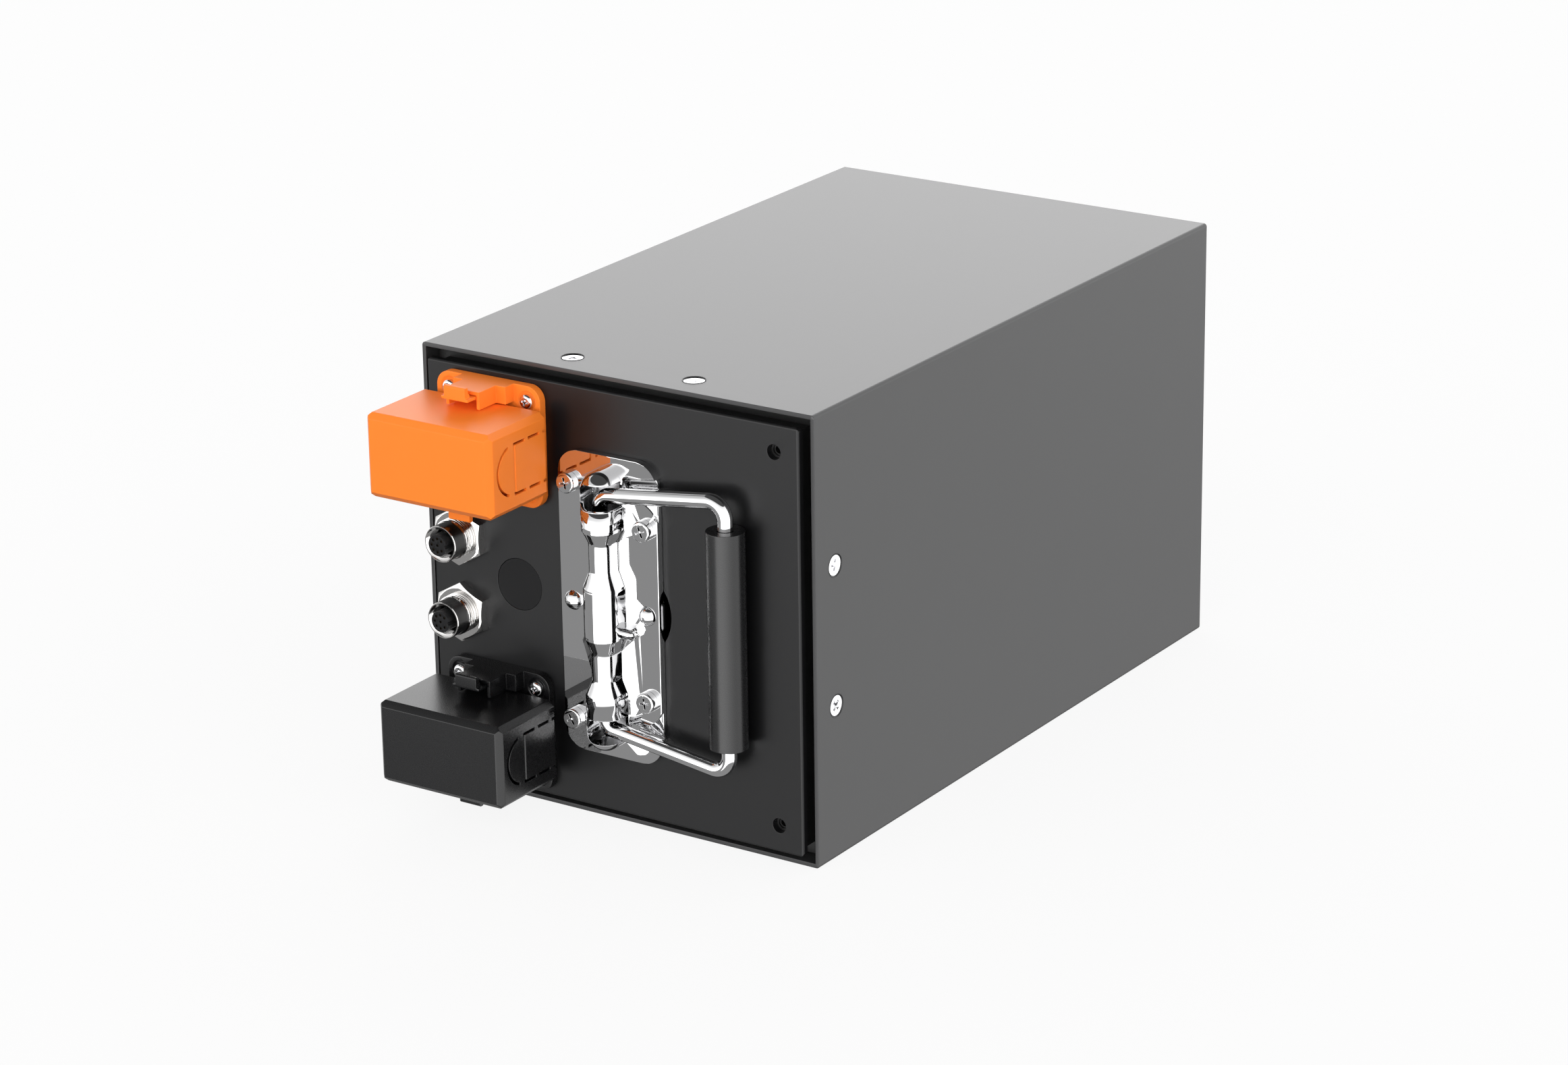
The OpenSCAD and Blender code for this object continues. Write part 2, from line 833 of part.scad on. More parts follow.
module terminal_cover(sign) {
    forward_from(cover_y) at_terminal(sign) {
        difference() {
            chamfered_box(cover_w, cover_h, cover_d, cover_chamfer);
            translate([0, 0, -eps]) chamfered_box(cover_w - 2 * cover_wall, cover_h - 2 * cover_wall,
                cover_d - cover_wall + eps, cover_inner_chamfer);
            for (side = [-1, 1]) {
                translate([side * (cover_w / 2 - cover_wall / 2), 0, 0]) rotate([0, -90, 0])
                    translate([0, 0, -cover_wall]) linear_extrude(2 * cover_wall) knock_outline();
                translate([side * cover_w / 2 - knock_groove_d, -knock_r + knock_slot, knock_groove[0]])
                    cube([2 * knock_groove_d, 2 * (knock_r - knock_slot),
                        knock_groove[1] - knock_groove[0]]);
            }
        }
        latch_tongue();
        rotate([0, 0, 180]) latch_tongue();
    }
}

module positive_cover() {
    color("darkorange") terminal_cover(1);
}

module negative_cover() {
    color("#222222") terminal_cover(-1);
}

module base_screws() {
    color("gainsboro") forward_from(flange_y + dish_d)
        for (sign = [-1, 1])
            at_terminal(sign) at_flange_screws()
                pan_screw(m3_r, base_screw_l, base_head_r, base_head_h, base_recess);
}

module base_seals() {
    color("black") forward_from(face_y)
        for (sign = [-1, 1])
            at_terminal(sign) linear_extrude(seal_t) difference() {
                circle(seal_out_r - thread_gap);
                circle(seal_in_r + thread_gap);
            }
}

// Stud with the collar that its base is moulded around
module power_stud(sign) {
    forward_from(face_y) at_terminal(sign) {
        translate([0, 0, -bar_seat]) cylinder(r = collar_r, h = bar_seat + collar_front);
        translate([0, 0, collar_front - eps]) cylinder(r = stud_r, h = stud_front - collar_front + eps);
        translate([0, 0, -bar_seat - stud_tail]) cylinder(r = stud_r, h = stud_tail + eps);
    }
}

module positive_stud() {
    color("goldenrod") power_stud(1);
}

module negative_stud() {
    color("goldenrod") power_stud(-1);
}

module ring(out_r, in_r, h) {
    difference() {
        cylinder(r = out_r, h = h);
        translate([0, 0, -1]) cylinder(r = in_r, h = h + 2);
    }
}

module stud_washers() {
    color("gainsboro") forward_from(face_y)
        for (sign = [-1, 1])
            at_terminal(sign) {
                translate([0, 0, collar_front]) ring(washer_r, stud_r + hole_gap, washer_t);
                translate([0, 0, -bar_seat - bar_t - washer_t])
                    ring(washer_r, stud_r + hole_gap, washer_t);
            }
}

module power_nut() {
    difference() {
        hexagon(power_nut_af, power_nut_h);
        translate([0, 0, -1]) cylinder(r = stud_r + thread_gap, h = power_nut_h + 2);
    }
}

module stud_nuts() {
    color("gainsboro") forward_from(face_y)
        for (sign = [-1, 1])
            at_terminal(sign) {
                translate([0, 0, collar_front + washer_t]) power_nut();
                translate([0, 0, -bar_seat - bar_t - washer_t - power_nut_h]) power_nut();
            }
}

// Signal sockets

module socket_shells() {
    color("silver") forward_from(face_y) at_sockets() difference() {
        union() {
            translate([0, 0, socket_back - socket_tail + socket_flange_t])
                cylinder(r = socket_tail_r, h = socket_tail);
            translate([0, 0, socket_back]) cylinder(r = socket_flange_r, h = socket_flange_t);
            translate([0, 0, socket_back])
                cylinder(r = socket_thread_r, h = socket_thread_l - socket_collar - socket_back);
            translate([0, 0, socket_thread_l - socket_collar])
                cylinder(r1 = socket_thread_r, r2 = socket_sleeve_r, h = socket_collar);
            cylinder(r = socket_sleeve_r, h = socket_l - socket_chamfer);
            translate([0, 0, socket_l - socket_chamfer])
                cylinder(r1 = socket_sleeve_r, r2 = socket_sleeve_r - socket_chamfer, h = socket_chamfer);
        }
        translate([0, 0, socket_back - socket_tail]) cylinder(r = socket_bore_r, h = through);
    }
}

module socket_nuts() {
    color("silver") forward_from(face_y) at_sockets() difference() {
        intersection() {
            rotate([0, 0, 30]) hexagon(socket_nut_af, socket_nut_h);
            cylinder(r1 = socket_nut_af, r2 = socket_nut_af / 2 + hole_gap, h = socket_nut_h + hole_gap);
        }
        translate([0, 0, -1]) cylinder(r = socket_thread_r + thread_gap, h = socket_nut_h + 2);
    }
}

module at_socket_pins() {
    children();
    for (i = [1 : socket_ring_pins])
        rotate([0, 0, i * 360 / (socket_ring_pins + 1)]) translate([pin_ring_r, 0, 0]) children();
}

module socket_inserts() {
    color("#222222") forward_from(face_y) at_sockets() difference() {
        union() {
            translate([0, 0, socket_back]) cylinder(r = insert_step_r, h = socket_shelf - socket_back);
            translate([0, 0, socket_back]) cylinder(r = insert_face_r, h = insert_face - socket_back);
        }
        translate([0, 0, socket_back - 1]) at_socket_pins() cylinder(r = pin_hole_r, h = through);
        translate([insert_face_r, 0, socket_shelf]) cylinder(r = key_r, h = through);
    }
}

module socket_contacts() {
    color("goldenrod") forward_from(face_y) at_sockets() at_socket_pins() difference() {
        translate([0, 0, socket_back])
            cylinder(r = pin_r, h = insert_face - pin_sink - socket_back, $fn = 16);
        translate([0, 0, insert_face - pin_sink - pin_bore_l])
            cylinder(r = pin_bore_r, h = pin_bore_l + 1, $fn = 16);
    }
}

module socket_seals() {
    color("black") backward_from(panel_back_y)
        mirror([0, 1, 0]) at_sockets() ring(socket_flange_r, socket_thread_r + thread_gap, socket_seal_t);
}

// Handle

// Half of the barrel's outline: x is the distance from the hinge axis, y the height
module barrel_profile() {
    end = barrel_end - barrel_r;
    steps = [[barrel_steps[0], barrel_r], [barrel_steps[1], barrel_neck_r],
        [barrel_steps[2], barrel_neck_r], [barrel_steps[3], barrel_r], [end, barrel_r]];
    flipped = [for (i = [len(steps) - 1 : -1 : 0]) [steps[i][1], -steps[i][0]]];
    polygon(concat([[0, -end]], flipped, [for (s = steps) [s[1], s[0]]], [[0, end]]));
    intersection() {
        for (s = [-1, 1])
            translate([0, s * end]) circle(barrel_r);
        translate([0, -barrel_end]) square([barrel_r, 2 * barrel_end]);
    }
}

// Half round in front of the hinge axis, straight walls behind it down into the plate
module barrel_shell() {
    rotate([0, 0, 180]) rotate_extrude(angle = 180) barrel_profile();
    rotate([-90, 0, 0]) linear_extrude(axis_h + plate_sink) {
        barrel_profile();
        mirror([1, 0, 0]) barrel_profile();
    }
}

// Channel about the hinge axis, open towards the plate
module channel(low, high, r) {
    back = axis_h + plate_t - keeper_t;
    translate([0, 0, low]) linear_extrude(high - low) {
        circle(r);
        translate([-r, 0]) square([2 * r, back]);
    }
}

// Opening for one arm, from the barrel's left front round to its right side
module arm_slot() {
    mid = (slot_span[0] + slot_span[1]) / 2;
    half = (slot_span[1] - slot_span[0]) / 2;
    translate([0, axis_h - slot_floor, mid]) rotate([90, 0, 0]) linear_extrude(axis_h + barrel_r + 1) {
        translate([slot_left + half - barrel_r, 0]) circle(half);
        translate([slot_left + half - barrel_r, -half]) square([2 * barrel_r, 2 * half]);
    }
}

// Shallow dip in the plate beside an arm, drawn with x to the right and y up
module relief_outline() {
    edge = plate_w / 2 + 1;
    difference() {
        polygon([[relief_x, relief_arc[1]], [edge, relief_arc[1]], [edge, relief_out[1]],
            [relief_x, relief_out[0]]]);
        translate([relief_arc[0], relief_arc[1]]) circle(relief_arc[2]);
        translate([relief_x - 1, relief_arc[1] - 1])
            square([relief_arc[0] - relief_x + 1, relief_arc[2] + 1]);
    }
}

// Low housing on the plate for the spring's leg, drawn from the hinge axis to the right
module leg_housing() {
    translate([0, axis_h - bump_h, bump_z]) {
        rotate([90, 0, 90]) rotate_extrude(angle = 180) {
            square([bump_r, bump_reach]);
            intersection() {
                translate([0, bump_reach]) circle(bump_r);
                translate([0, bump_reach]) square(bump_r);
            }
        }
        rotate([-90, 0, 0]) linear_extrude(bump_h + plate_sink) {
            translate([0, -bump_r]) square([bump_reach, 2 * bump_r]);
            translate([bump_reach, 0]) circle(bump_r);
        }
    }
}

module handle_plate() {
    color("gainsboro") difference() {
        union() {
            forward_from(face_y) translate([handle_x, 0, 0]) slab(plate_w, plate_h, plate_t, plate_r);
            translate([handle_x, axis_y, mid_z]) {
                barrel_shell();
                leg_housing();
            }
        }
        forward_from(plate_y) translate([handle_x, 0, -relief_d])
            for (s = [0, 1])
                mirror([0, s, 0]) linear_extrude(relief_d + 1) relief_outline();
        translate([handle_x, axis_y, mid_z]) {
            channel(-cavity_mid, cavity_mid, cavity_r);
            for (s = [0, 1])
                mirror([0, 0, s]) {
                    channel(cavity_ends[0], cavity_ends[1], cavity_r);
                    arm_slot();
                }
            channel(-cavity_ends[1], cavity_ends[1], wire_r + run_gap);
        }
        keeper_room();
        forward_from(face_y) {
            at_plate_screws() translate([0, 0, -1]) cylinder(r = m5_r + hole_gap, h = plate_t + 2);
            for (s = [-1, 1])
                translate([handle_x + s * rivet_x, 0, -1]) cylinder(r = rivet_r, h = plate_t + 2);
        }
    }
}

module keeper_outline(room) {
    rounded_square(keeper_w + 2 * room, keeper_l + 2 * room, keeper_r);
    rounded_square(2 * rivet_x + keeper_ear_w + 2 * room, keeper_ear_w + 2 * room, keeper_r);
}

module keeper_room() {
    forward_from(face_y) translate([handle_x, 0, -1])
        linear_extrude(keeper_t + 1) keeper_outline(keeper_room_gap);
}

// Strip behind the plate that closes the hinge from the back and backs the bail's stubs
module handle_keeper() {
    color("silver") difference() {
        union() {
            forward_from(face_y) translate([handle_x, 0, 0]) linear_extrude(keeper_t) keeper_outline(0);
            for (s = [-1, 1])
                translate([handle_x - wire_r, axis_y, mid_z + s * keeper_block_z - keeper_block_l / 2])
                    cube([2 * wire_r, axis_h + plate_t - keeper_t + eps, keeper_block_l]);
        }
        translate([handle_x, axis_y, mid_z]) cylinder(r = wire_r + run_gap, h = keeper_l, center = true);
        forward_from(face_y)
            for (s = [-1, 1])
                translate([handle_x + s * rivet_x, 0, -1]) cylinder(r = rivet_r, h = keeper_t + 2);
    }
}

module handle_rivets() {
    cap_r = (rivet_head_r * rivet_head_r + rivet_head_h * rivet_head_h) / (2 * rivet_head_h);
    color("gainsboro") forward_from(face_y)
        for (s = [-1, 1])
            translate([handle_x + s * rivet_x, 0, 0]) {
                cylinder(r = rivet_r, h = plate_t + eps);
                translate([0, 0, plate_t]) intersection() {
                    translate([0, 0, rivet_head_h - cap_r]) sphere(cap_r);
                    cylinder(r = 2 * rivet_head_r, h = rivet_head_h + 1);
                }
            }
}

module handle_screws() {
    color("gainsboro") forward_from(plate_y) at_plate_screws()
        pan_screw(m5_r, m5_len, plate_head_r, plate_head_h, m5_recess);
}

module handle_nuts() {
    color("silver") forward_from(panel_back_y)
        at_plate_screws() translate([0, 0, -m5_nut_h]) difference() {
            hexagon(m5_nut_af, m5_nut_h);
            translate([0, 0, -1]) cylinder(r = m5_r + thread_gap, h = m5_nut_h + 2);
        }
}

// Torsion spring round the bail's stubs, inside the barrel's middle
function coil_point(i) = [
    spring_r * cos(i * 360 / spring_steps),
    spring_r * sin(i * 360 / spring_steps),
    spring_pitch * (i / spring_steps - spring_turns / 2)];

function coil_ring(i) = [for (k = [0 : spring_sides - 1])
    let (a = k * 360 / spring_sides, turn = i * 360 / spring_steps)
    coil_point(i) + spring_wire_r * [cos(a) * cos(turn), cos(a) * sin(turn), sin(a)]];

module handle_spring() {
    count = spring_turns * spring_steps;
    points = [for (i = [0 : count]) each coil_ring(i)];
    sides = [for (i = [0 : count - 1], k = [0 : spring_sides - 1])
        let (a = i * spring_sides + k, b = i * spring_sides + (k + 1) % spring_sides)
        [a, a + spring_sides, b + spring_sides, b]];
    first = [for (k = [0 : spring_sides - 1]) k];
    last = [for (k = [spring_sides - 1 : -1 : 0]) count * spring_sides + k];
    color("slategray") translate([handle_x, axis_y, mid_z])
        polyhedron(points, concat(sides, [first, last]), convexity = 10);
}

// Rod along x from the origin, then bent to the left, for each step
// [straight, turn, bend radius, roll about the rod before it]
module bent_rod(steps, r, i = 0) {
    step = steps[i];
    first = i == 0 ? 0 : bend_lap;
    last = i == len(steps) - 1 ? 0 : bend_lap;
    rotate([len(step) > 3 ? step[3] : 0, 0, 0]) {
        translate([-first, 0, 0]) rotate([0, 90, 0]) cylinder(r = r, h = step[0] + first + last);
        if (i < len(steps) - 1)
            translate([step[0], step[2], 0]) {
                rotate([0, 0, -90]) rotate_extrude(angle = step[1])
                    translate([step[2], 0]) circle(r + bend_swell);
                rotate([0, 0, step[1]]) translate([0, -step[2], 0]) bent_rod(steps, r, i + 1);
            }
    }
}

// Wire from the lower stub round both arms to the upper stub, drawn in the plane of the hinge
module bail() {
    slope = atan(arm_rise / bail_reach);
    root_turn = 90 - slope;
    grip_turn = 90 + slope;
    root_trim = root_bend * tan(root_turn / 2);
    grip_trim = grip_bend * tan(grip_turn / 2);
    stub = arm_root - stub_end - root_trim;
    arm = norm([bail_reach, arm_rise]) - root_trim - grip_trim;
    back = 2 * (arm_root + arm_rise - grip_trim);
    color("gainsboro") translate([handle_x, axis_y, mid_z - stub_end]) rotate([90, 90, 0])
        bent_rod([[stub, root_turn, root_bend], [arm, grip_turn, grip_bend],
            [back, grip_turn, grip_bend], [arm, root_turn, root_bend], [stub]], wire_r);
}

module grip() {
    color("#1c1c1c") translate([handle_x + bail_reach, axis_y, mid_z - grip_half])
        ring(grip_r, wire_r + run_gap, grip_l);
}

// Cell stack

module base_pad() {
    color("slategray") translate([-cell_w / 2, stack_y, case_wall]) cube([cell_w, stack_l, base_pad_t]);
}

module side_pads() {
    color("slategray") for (s = [-1, 1])
        translate([s > 0 ? cell_w / 2 : -case_in_w / 2, stack_y + side_pad_end, side_pad_z[0]])
            cube([(case_in_w - cell_w) / 2, stack_l - 2 * side_pad_end, side_pad_z[1] - side_pad_z[0]]);
}

module cells() {
    color("royalblue") for (i = [0 : cell_count - 1])
        translate([0, first_cell_y + i * cell_step, 0]) {
            translate([-cell_w / 2, -cell_t / 2, cell_z]) cube([cell_w, cell_t, cell_h]);
            for (s = [-1, 1])
                translate([s * post_x, 0, cell_top]) cylinder(r = post_r, h = post_h);
        }
}

module cell_sheets() {
    color("white") for (i = [1 : cell_count - 1])
        translate([-cell_w / 2 + 1, stack_y + i * cell_step - sheet_t, cell_z])
            cube([cell_w - 2, sheet_t, cell_h - 1]);
}

module end_plate() {
    difference() {
        translate([-cell_w / 2, 0, cell_z]) cube([cell_w, end_plate_t, cell_h]);
        for (z = strap_z, s = [-1, 1])
            translate([s * cell_w / 2, end_plate_t / 2, z]) rotate([0, -s * 90, 0])
                translate([0, 0, -1]) cylinder(r = strap_screw_r + thread_gap, h = strap_screw_l + 2);
    }
}

module front_end_plate() {
    color("lightsteelblue") translate([0, stack_y - end_plate_t, 0]) end_plate();
}

module rear_end_plate() {
    color("lightsteelblue") translate([0, stack_end, 0]) end_plate();
}

module tie_straps() {
    color("silver") for (z = strap_z, s = [-1, 1])
        translate([s * (cell_w + strap_t) / 2, 0, z]) difference() {
            translate([-strap_t / 2, stack_y - end_plate_t, -strap_w / 2])
                cube([strap_t, stack_l + 2 * end_plate_t, strap_w]);
            for (y = strap_screw_y)
                translate([0, y, 0]) rotate([0, 90, 0])
                    cylinder(r = strap_screw_r + hole_gap, h = 4 * strap_t, center = true);
        }
}

module strap_screws() {
    color("gainsboro") for (z = strap_z, s = [-1, 1], y = strap_screw_y)
        translate([s * (cell_w / 2 + strap_t), y, z]) rotate([0, s * 90, 0])
            pan_screw(strap_screw_r, strap_screw_l, strap_head_r, strap_head_h, strap_recess);
}

// Blocks that hold the stack between the two end frames
module stack_stops() {
    color("dimgray") for (s = [-1, 1], z = stop_z) {
        translate([s * stop_x - stop_w / 2, land_back_y, z])
            cube([stop_w, stack_y - end_plate_t - land_back_y, stop_w]);
        translate([s * stop_x - stop_w / 2, stack_end + end_plate_t, z])
            cube([stop_w, -land_back_y - stack_end - end_plate_t, stop_w]);
    }
}

module busbar_tray() {
    color("#333333") translate([0, 0, cell_top]) difference() {
        translate([-tray_w / 2, stack_y + tray_end, 0])
            cube([tray_w, stack_l - 2 * tray_end, lid_z - cell_top]);
        translate([-tray_w / 2 + tray_rim_t, stack_y + tray_end + tray_rim_t, tray_t])
            cube([tray_w - 2 * tray_rim_t, stack_l - 2 * (tray_end + tray_rim_t), through]);
        for (i = [0 : cell_count - 1], s = [-1, 1])
            translate([s * post_x, first_cell_y + i * cell_step, -1])
                cylinder(r = post_r + tray_hole_gap, h = tray_t + 2);
    }
}

module window(low_x, high_x, low_y, high_y) {
    translate([low_x - window_gap, low_y - window_gap, lid_z - 1])
        cube([high_x - low_x + 2 * window_gap, high_y - low_y + 2 * window_gap, lid_t + 2]);
}

module tray_lid() {
    color("whitesmoke") difference() {
        translate([-tray_w / 2, stack_y + tray_end, lid_z]) cube([tray_w, stack_l - 2 * tray_end, lid_t]);
        window(-post_x - bar_w / 2, -post_x + bar_w / 2, riser_y, riser_y + bar_t);
        window(tap_x - bar_t, tap_x, first_cell_y - post_r, first_cell_y + post_r);
        window(-strip_w / 2, strip_w / 2, strip_rise, strip_rise + strip_t);
    }
}

// Links join the right posts of the first two cells, the left posts of the next two, and so on
module cell_links() {
    color("silver") for (i = [0 : cell_count - 2])
        translate([(i % 2 == 0 ? 1 : -1) * post_x - link_w / 2,
            first_cell_y + i * cell_step - post_r, post_top])
            cube([link_w, cell_step + 2 * post_r, link_t]);
}

// Flat strip that joins every link to the control board
module sense_strip() {
    first = first_cell_y + cell_step / 2;
    color("peru") {
        translate([-strip_w / 2, first - strip_arm_w / 2, strip_y])
            cube([strip_w, (cell_count - 2) * cell_step + strip_arm_w, strip_t]);
        for (i = [0 : cell_count - 2])
            translate([i % 2 == 0 ? 0 : -post_x, first + i * cell_step - strip_arm_w / 2, strip_y])
                cube([post_x, strip_arm_w, strip_t]);
        translate([-strip_w / 2, strip_rise, strip_y]) cube([strip_w, strip_t, plug_wire_z - strip_y]);
        translate([-strip_w / 2, board_back, plug_wire_z - strip_t])
            cube([strip_w, strip_rise - board_back + strip_t, strip_t]);
    }
}

// Fuse and copper bars

module fuse_base() {
    color("#333333") difference() {
        translate([fuse_x - fuse_w / 2, fuse_front - fuse_margin, lid_top])
            cube([fuse_w, fuse_pitch + 2 * fuse_margin, rail_bottom - lid_top]);
        for (y = [fuse_front, fuse_back])
            translate([fuse_x, y, rail_bottom - fuse_bolt_l])
                cylinder(r = fuse_bolt_r + thread_gap, h = fuse_bolt_l + 1);
    }
}

module fuse_link() {
    color("lightsteelblue") difference() {
        union() {
            translate([fuse_x - fuse_body_w / 2, fuse_front - fuse_margin + 1, rail_top])
                cube([fuse_body_w, fuse_pitch + 2 * fuse_margin - 2, fuse_blade_t]);
            translate([fuse_x - fuse_body_w / 2, (fuse_front + fuse_back - fuse_body_l) / 2, rail_top])
                cube([fuse_body_w, fuse_body_l, fuse_body_h]);
        }
        for (y = [fuse_front, fuse_back])
            translate([fuse_x, y, rail_top - 1])
                cylinder(r = fuse_bolt_r + hole_gap, h = fuse_blade_t + 2);
    }
}

module fuse_bolts() {
    color("gainsboro") for (y = [fuse_front, fuse_back])
        translate([fuse_x, y, rail_top + fuse_blade_t]) {
            hexagon(fuse_head_af, fuse_head_h);
            translate([0, 0, -fuse_bolt_grip]) cylinder(r = fuse_bolt_r, h = fuse_bolt_grip + 1);
        }
}

module stud_tab(sign) {
    difference() {
        translate([term_x - bar_w / 2, bar_y, mid_z + sign * term_z - bar_w / 2])
            cube([bar_w, bar_t, bar_w]);
        stud_tab_hole(sign);
    }
}

module stud_tab_hole(sign) {
    forward_from(bar_y + bar_t + 1) at_terminal(sign) cylinder(r = stud_r + hole_gap, h = bar_t + 2);
}

// From the positive stud back to the fuse
module positive_front_bar() {
    color("peru") difference() {
        union() {
            stud_tab(1);
            difference() {
                translate([term_x - bar_w / 2, bar_y, mid_z + term_z])
                    cube([bar_w, bar_t, rail_top - mid_z - term_z]);
                stud_tab_hole(1);
            }
            translate([term_x - bar_w / 2, bar_y, rail_bottom])
                cube([bar_w, fuse_front + fuse_margin - bar_y, bar_t]);
        }
        translate([fuse_x, fuse_front, rail_bottom - 1])
            cylinder(r = fuse_bolt_r + hole_gap, h = bar_t + 2);
    }
}

// From the last cell's post forward to the fuse
module positive_rear_bar() {
    left = -post_x - bar_w / 2;
    color("peru") difference() {
        union() {
            translate([left, last_cell_y - post_r, post_top]) cube([bar_w, 2 * post_r, bar_t]);
            translate([left, riser_y, post_top]) cube([bar_w, bar_t, rail_top - post_top]);
            translate([left, fuse_back - fuse_margin, rail_bottom])
                cube([bar_w, riser_y + bar_t - fuse_back + fuse_margin, bar_t]);
        }
        translate([fuse_x, fuse_back, rail_bottom - 1])
            cylinder(r = fuse_bolt_r + hole_gap, h = bar_t + 2);
    }
}

// From the first cell's post up to the control board
module negative_cell_bar() {
    low_y = first_cell_y - post_r;
    color("peru") {
        translate([-post_x - bar_w / 2, low_y, post_top])
            cube([tap_x + post_x + bar_w / 2, 2 * post_r, bar_t]);
        translate([tap_x - bar_t, low_y, post_top]) cube([bar_t, 2 * post_r, board_z - post_top]);
        translate([tap_x - tap_w, low_y, board_z - bar_t])
            cube([tap_w, board_front + board_tab_l - low_y, bar_t]);
    }
}

// From the control board down to the negative stud
module negative_front_bar() {
    arm_z = mid_z - term_z - bar_w / 2;
    left = term_x - bar_w / 2;
    color("peru") {
        translate([drop_x - drop_w / 2, drop_y, board_z - bar_t])
            cube([drop_w, board_front + board_tab_l - drop_y, bar_t]);
        translate([drop_x - drop_w / 2, drop_y, arm_z]) cube([drop_w, bar_t, board_z - arm_z]);
        translate([left, drop_y, arm_z]) cube([drop_x + drop_w / 2 - left, bar_t, bar_w]);
        translate([left, bar_y, arm_z]) cube([bar_t, drop_y + bar_t - bar_y, bar_w]);
        stud_tab(-1);
    }
}

// Control board

module at_board_corners() {
    for (sx = [-1, 1], sy = [-1, 1])
        translate([board_x + sx * (board_w / 2 - standoff_inset),
            board_y + sy * (board_l / 2 - standoff_inset), 0]) children();
}

module control_board() {
    color("darkgreen") difference() {
        translate([board_left, board_front, board_z]) cube([board_w, board_l, board_t]);
        at_board_corners() translate([0, 0, board_z - 1])
            cylinder(r = board_screw_r + hole_gap, h = board_t + 2);
    }
}

module board_standoffs() {
    color("goldenrod") at_board_corners() translate([0, 0, lid_top]) difference() {
        cylinder(r = standoff_r, h = board_z - lid_top);
        translate([0, 0, standoff_floor]) cylinder(r = board_screw_r + thread_gap, h = board_z);
    }
}

module board_screws() {
    color("gainsboro") at_board_corners() translate([0, 0, board_top])
        pan_screw(board_screw_r, board_screw_l, board_head_r, board_head_h, board_recess);
}

module board_parts() {
    color("#333333") {
        for (y = chip_rows, i = [0 : chip_count - 1])
            translate([board_x + (i - (chip_count - 1) / 2) * chip_pitch - chip_w / 2,
                board_y + y - chip_l / 2, board_top])
                cube([chip_w, chip_l, chip_h]);
        translate([plug_x - plug_w / 2 + plug_side, board_front - plug_front, board_top])
            cube([plug_w, plug_l, plug_h]);
        translate([-plug_w / 2, board_back - plug_l, board_top]) cube([plug_w, plug_l, plug_h]);
    }
}

module heat_sink() {
    span = sink_w - fin_t;
    color("silver") translate([board_x - sink_w / 2, board_y - sink_l / 2, board_top + chip_h]) {
        difference() {
            cube([sink_w, sink_l, sink_base_t]);
            translate([-1, sink_l - sink_notch_l, -1])
                cube([sink_notch_w, sink_notch_l + 1, sink_base_t + 2]);
        }
        for (i = [0 : fin_count - 1])
            translate([i * span / (fin_count - 1), 0, sink_base_t - eps])
                cube([fin_t, sink_l - sink_notch_l, fin_h + eps]);
    }
}

// From each socket's back across to the board's plug, up to it and in
module signal_leads() {
    color("#1c1c1c") for (sign = [-1, 1]) {
        low = mid_z + sign * socket_z;
        across = plug_x - sign * lead_gap / 2 - socket_x;
        translate([socket_x, lead_start, low]) rotate([180, 0, 90])
            bent_rod([[lead_y - lead_start - lead_bend, 90, lead_bend],
                [across - 2 * lead_bend, 90, lead_bend, -90],
                [plug_wire_z - low - 2 * lead_bend, 90, lead_bend, -90],
                [lead_end - lead_y - lead_bend]], lead_r);
    }
}

case_sleeve();
case_screws();
front_frame();
rear_frame();
front_panel();
rear_panel();
panel_studs();
panel_nuts();
rear_panel_screws();
bracket_inserts();
vent_plug();
positive_base();
negative_base();
positive_cover();
negative_cover();
base_screws();
base_seals();
positive_stud();
negative_stud();
stud_washers();
stud_nuts();
socket_shells();
socket_nuts();
socket_inserts();
socket_contacts();
socket_seals();
handle_plate();
handle_keeper();
handle_rivets();
handle_screws();
handle_nuts();
handle_spring();
bail();
grip();
base_pad();
side_pads();
cells();
cell_sheets();
front_end_plate();
rear_end_plate();
tie_straps();
strap_screws();
stack_stops();
busbar_tray();
tray_lid();
cell_links();
sense_strip();
fuse_base();
fuse_link();
fuse_bolts();
positive_front_bar();
positive_rear_bar();
negative_cell_bar();
negative_front_bar();
control_board();
board_standoffs();
board_screws();
board_parts();
heat_sink();
signal_leads();
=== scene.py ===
"""Looks of the battery module: camera, studio, finishes and the detailed pieces on its front."""
import json
import math

import bmesh
import bpy
from mathutils import Matrix, Vector


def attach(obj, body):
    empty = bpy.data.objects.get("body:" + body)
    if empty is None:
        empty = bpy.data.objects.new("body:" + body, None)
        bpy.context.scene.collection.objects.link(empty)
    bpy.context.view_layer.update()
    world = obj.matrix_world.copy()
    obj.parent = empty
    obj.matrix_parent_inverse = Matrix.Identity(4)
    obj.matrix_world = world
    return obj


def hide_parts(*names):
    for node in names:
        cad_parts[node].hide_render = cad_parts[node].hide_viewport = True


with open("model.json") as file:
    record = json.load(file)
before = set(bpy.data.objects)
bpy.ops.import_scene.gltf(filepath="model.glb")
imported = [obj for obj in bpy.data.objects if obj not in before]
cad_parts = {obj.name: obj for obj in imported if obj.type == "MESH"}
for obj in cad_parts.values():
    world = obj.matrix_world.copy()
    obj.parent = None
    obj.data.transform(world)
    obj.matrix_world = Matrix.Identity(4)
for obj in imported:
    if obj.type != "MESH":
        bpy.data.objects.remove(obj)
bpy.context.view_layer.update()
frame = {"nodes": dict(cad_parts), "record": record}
NODES = frame["nodes"]

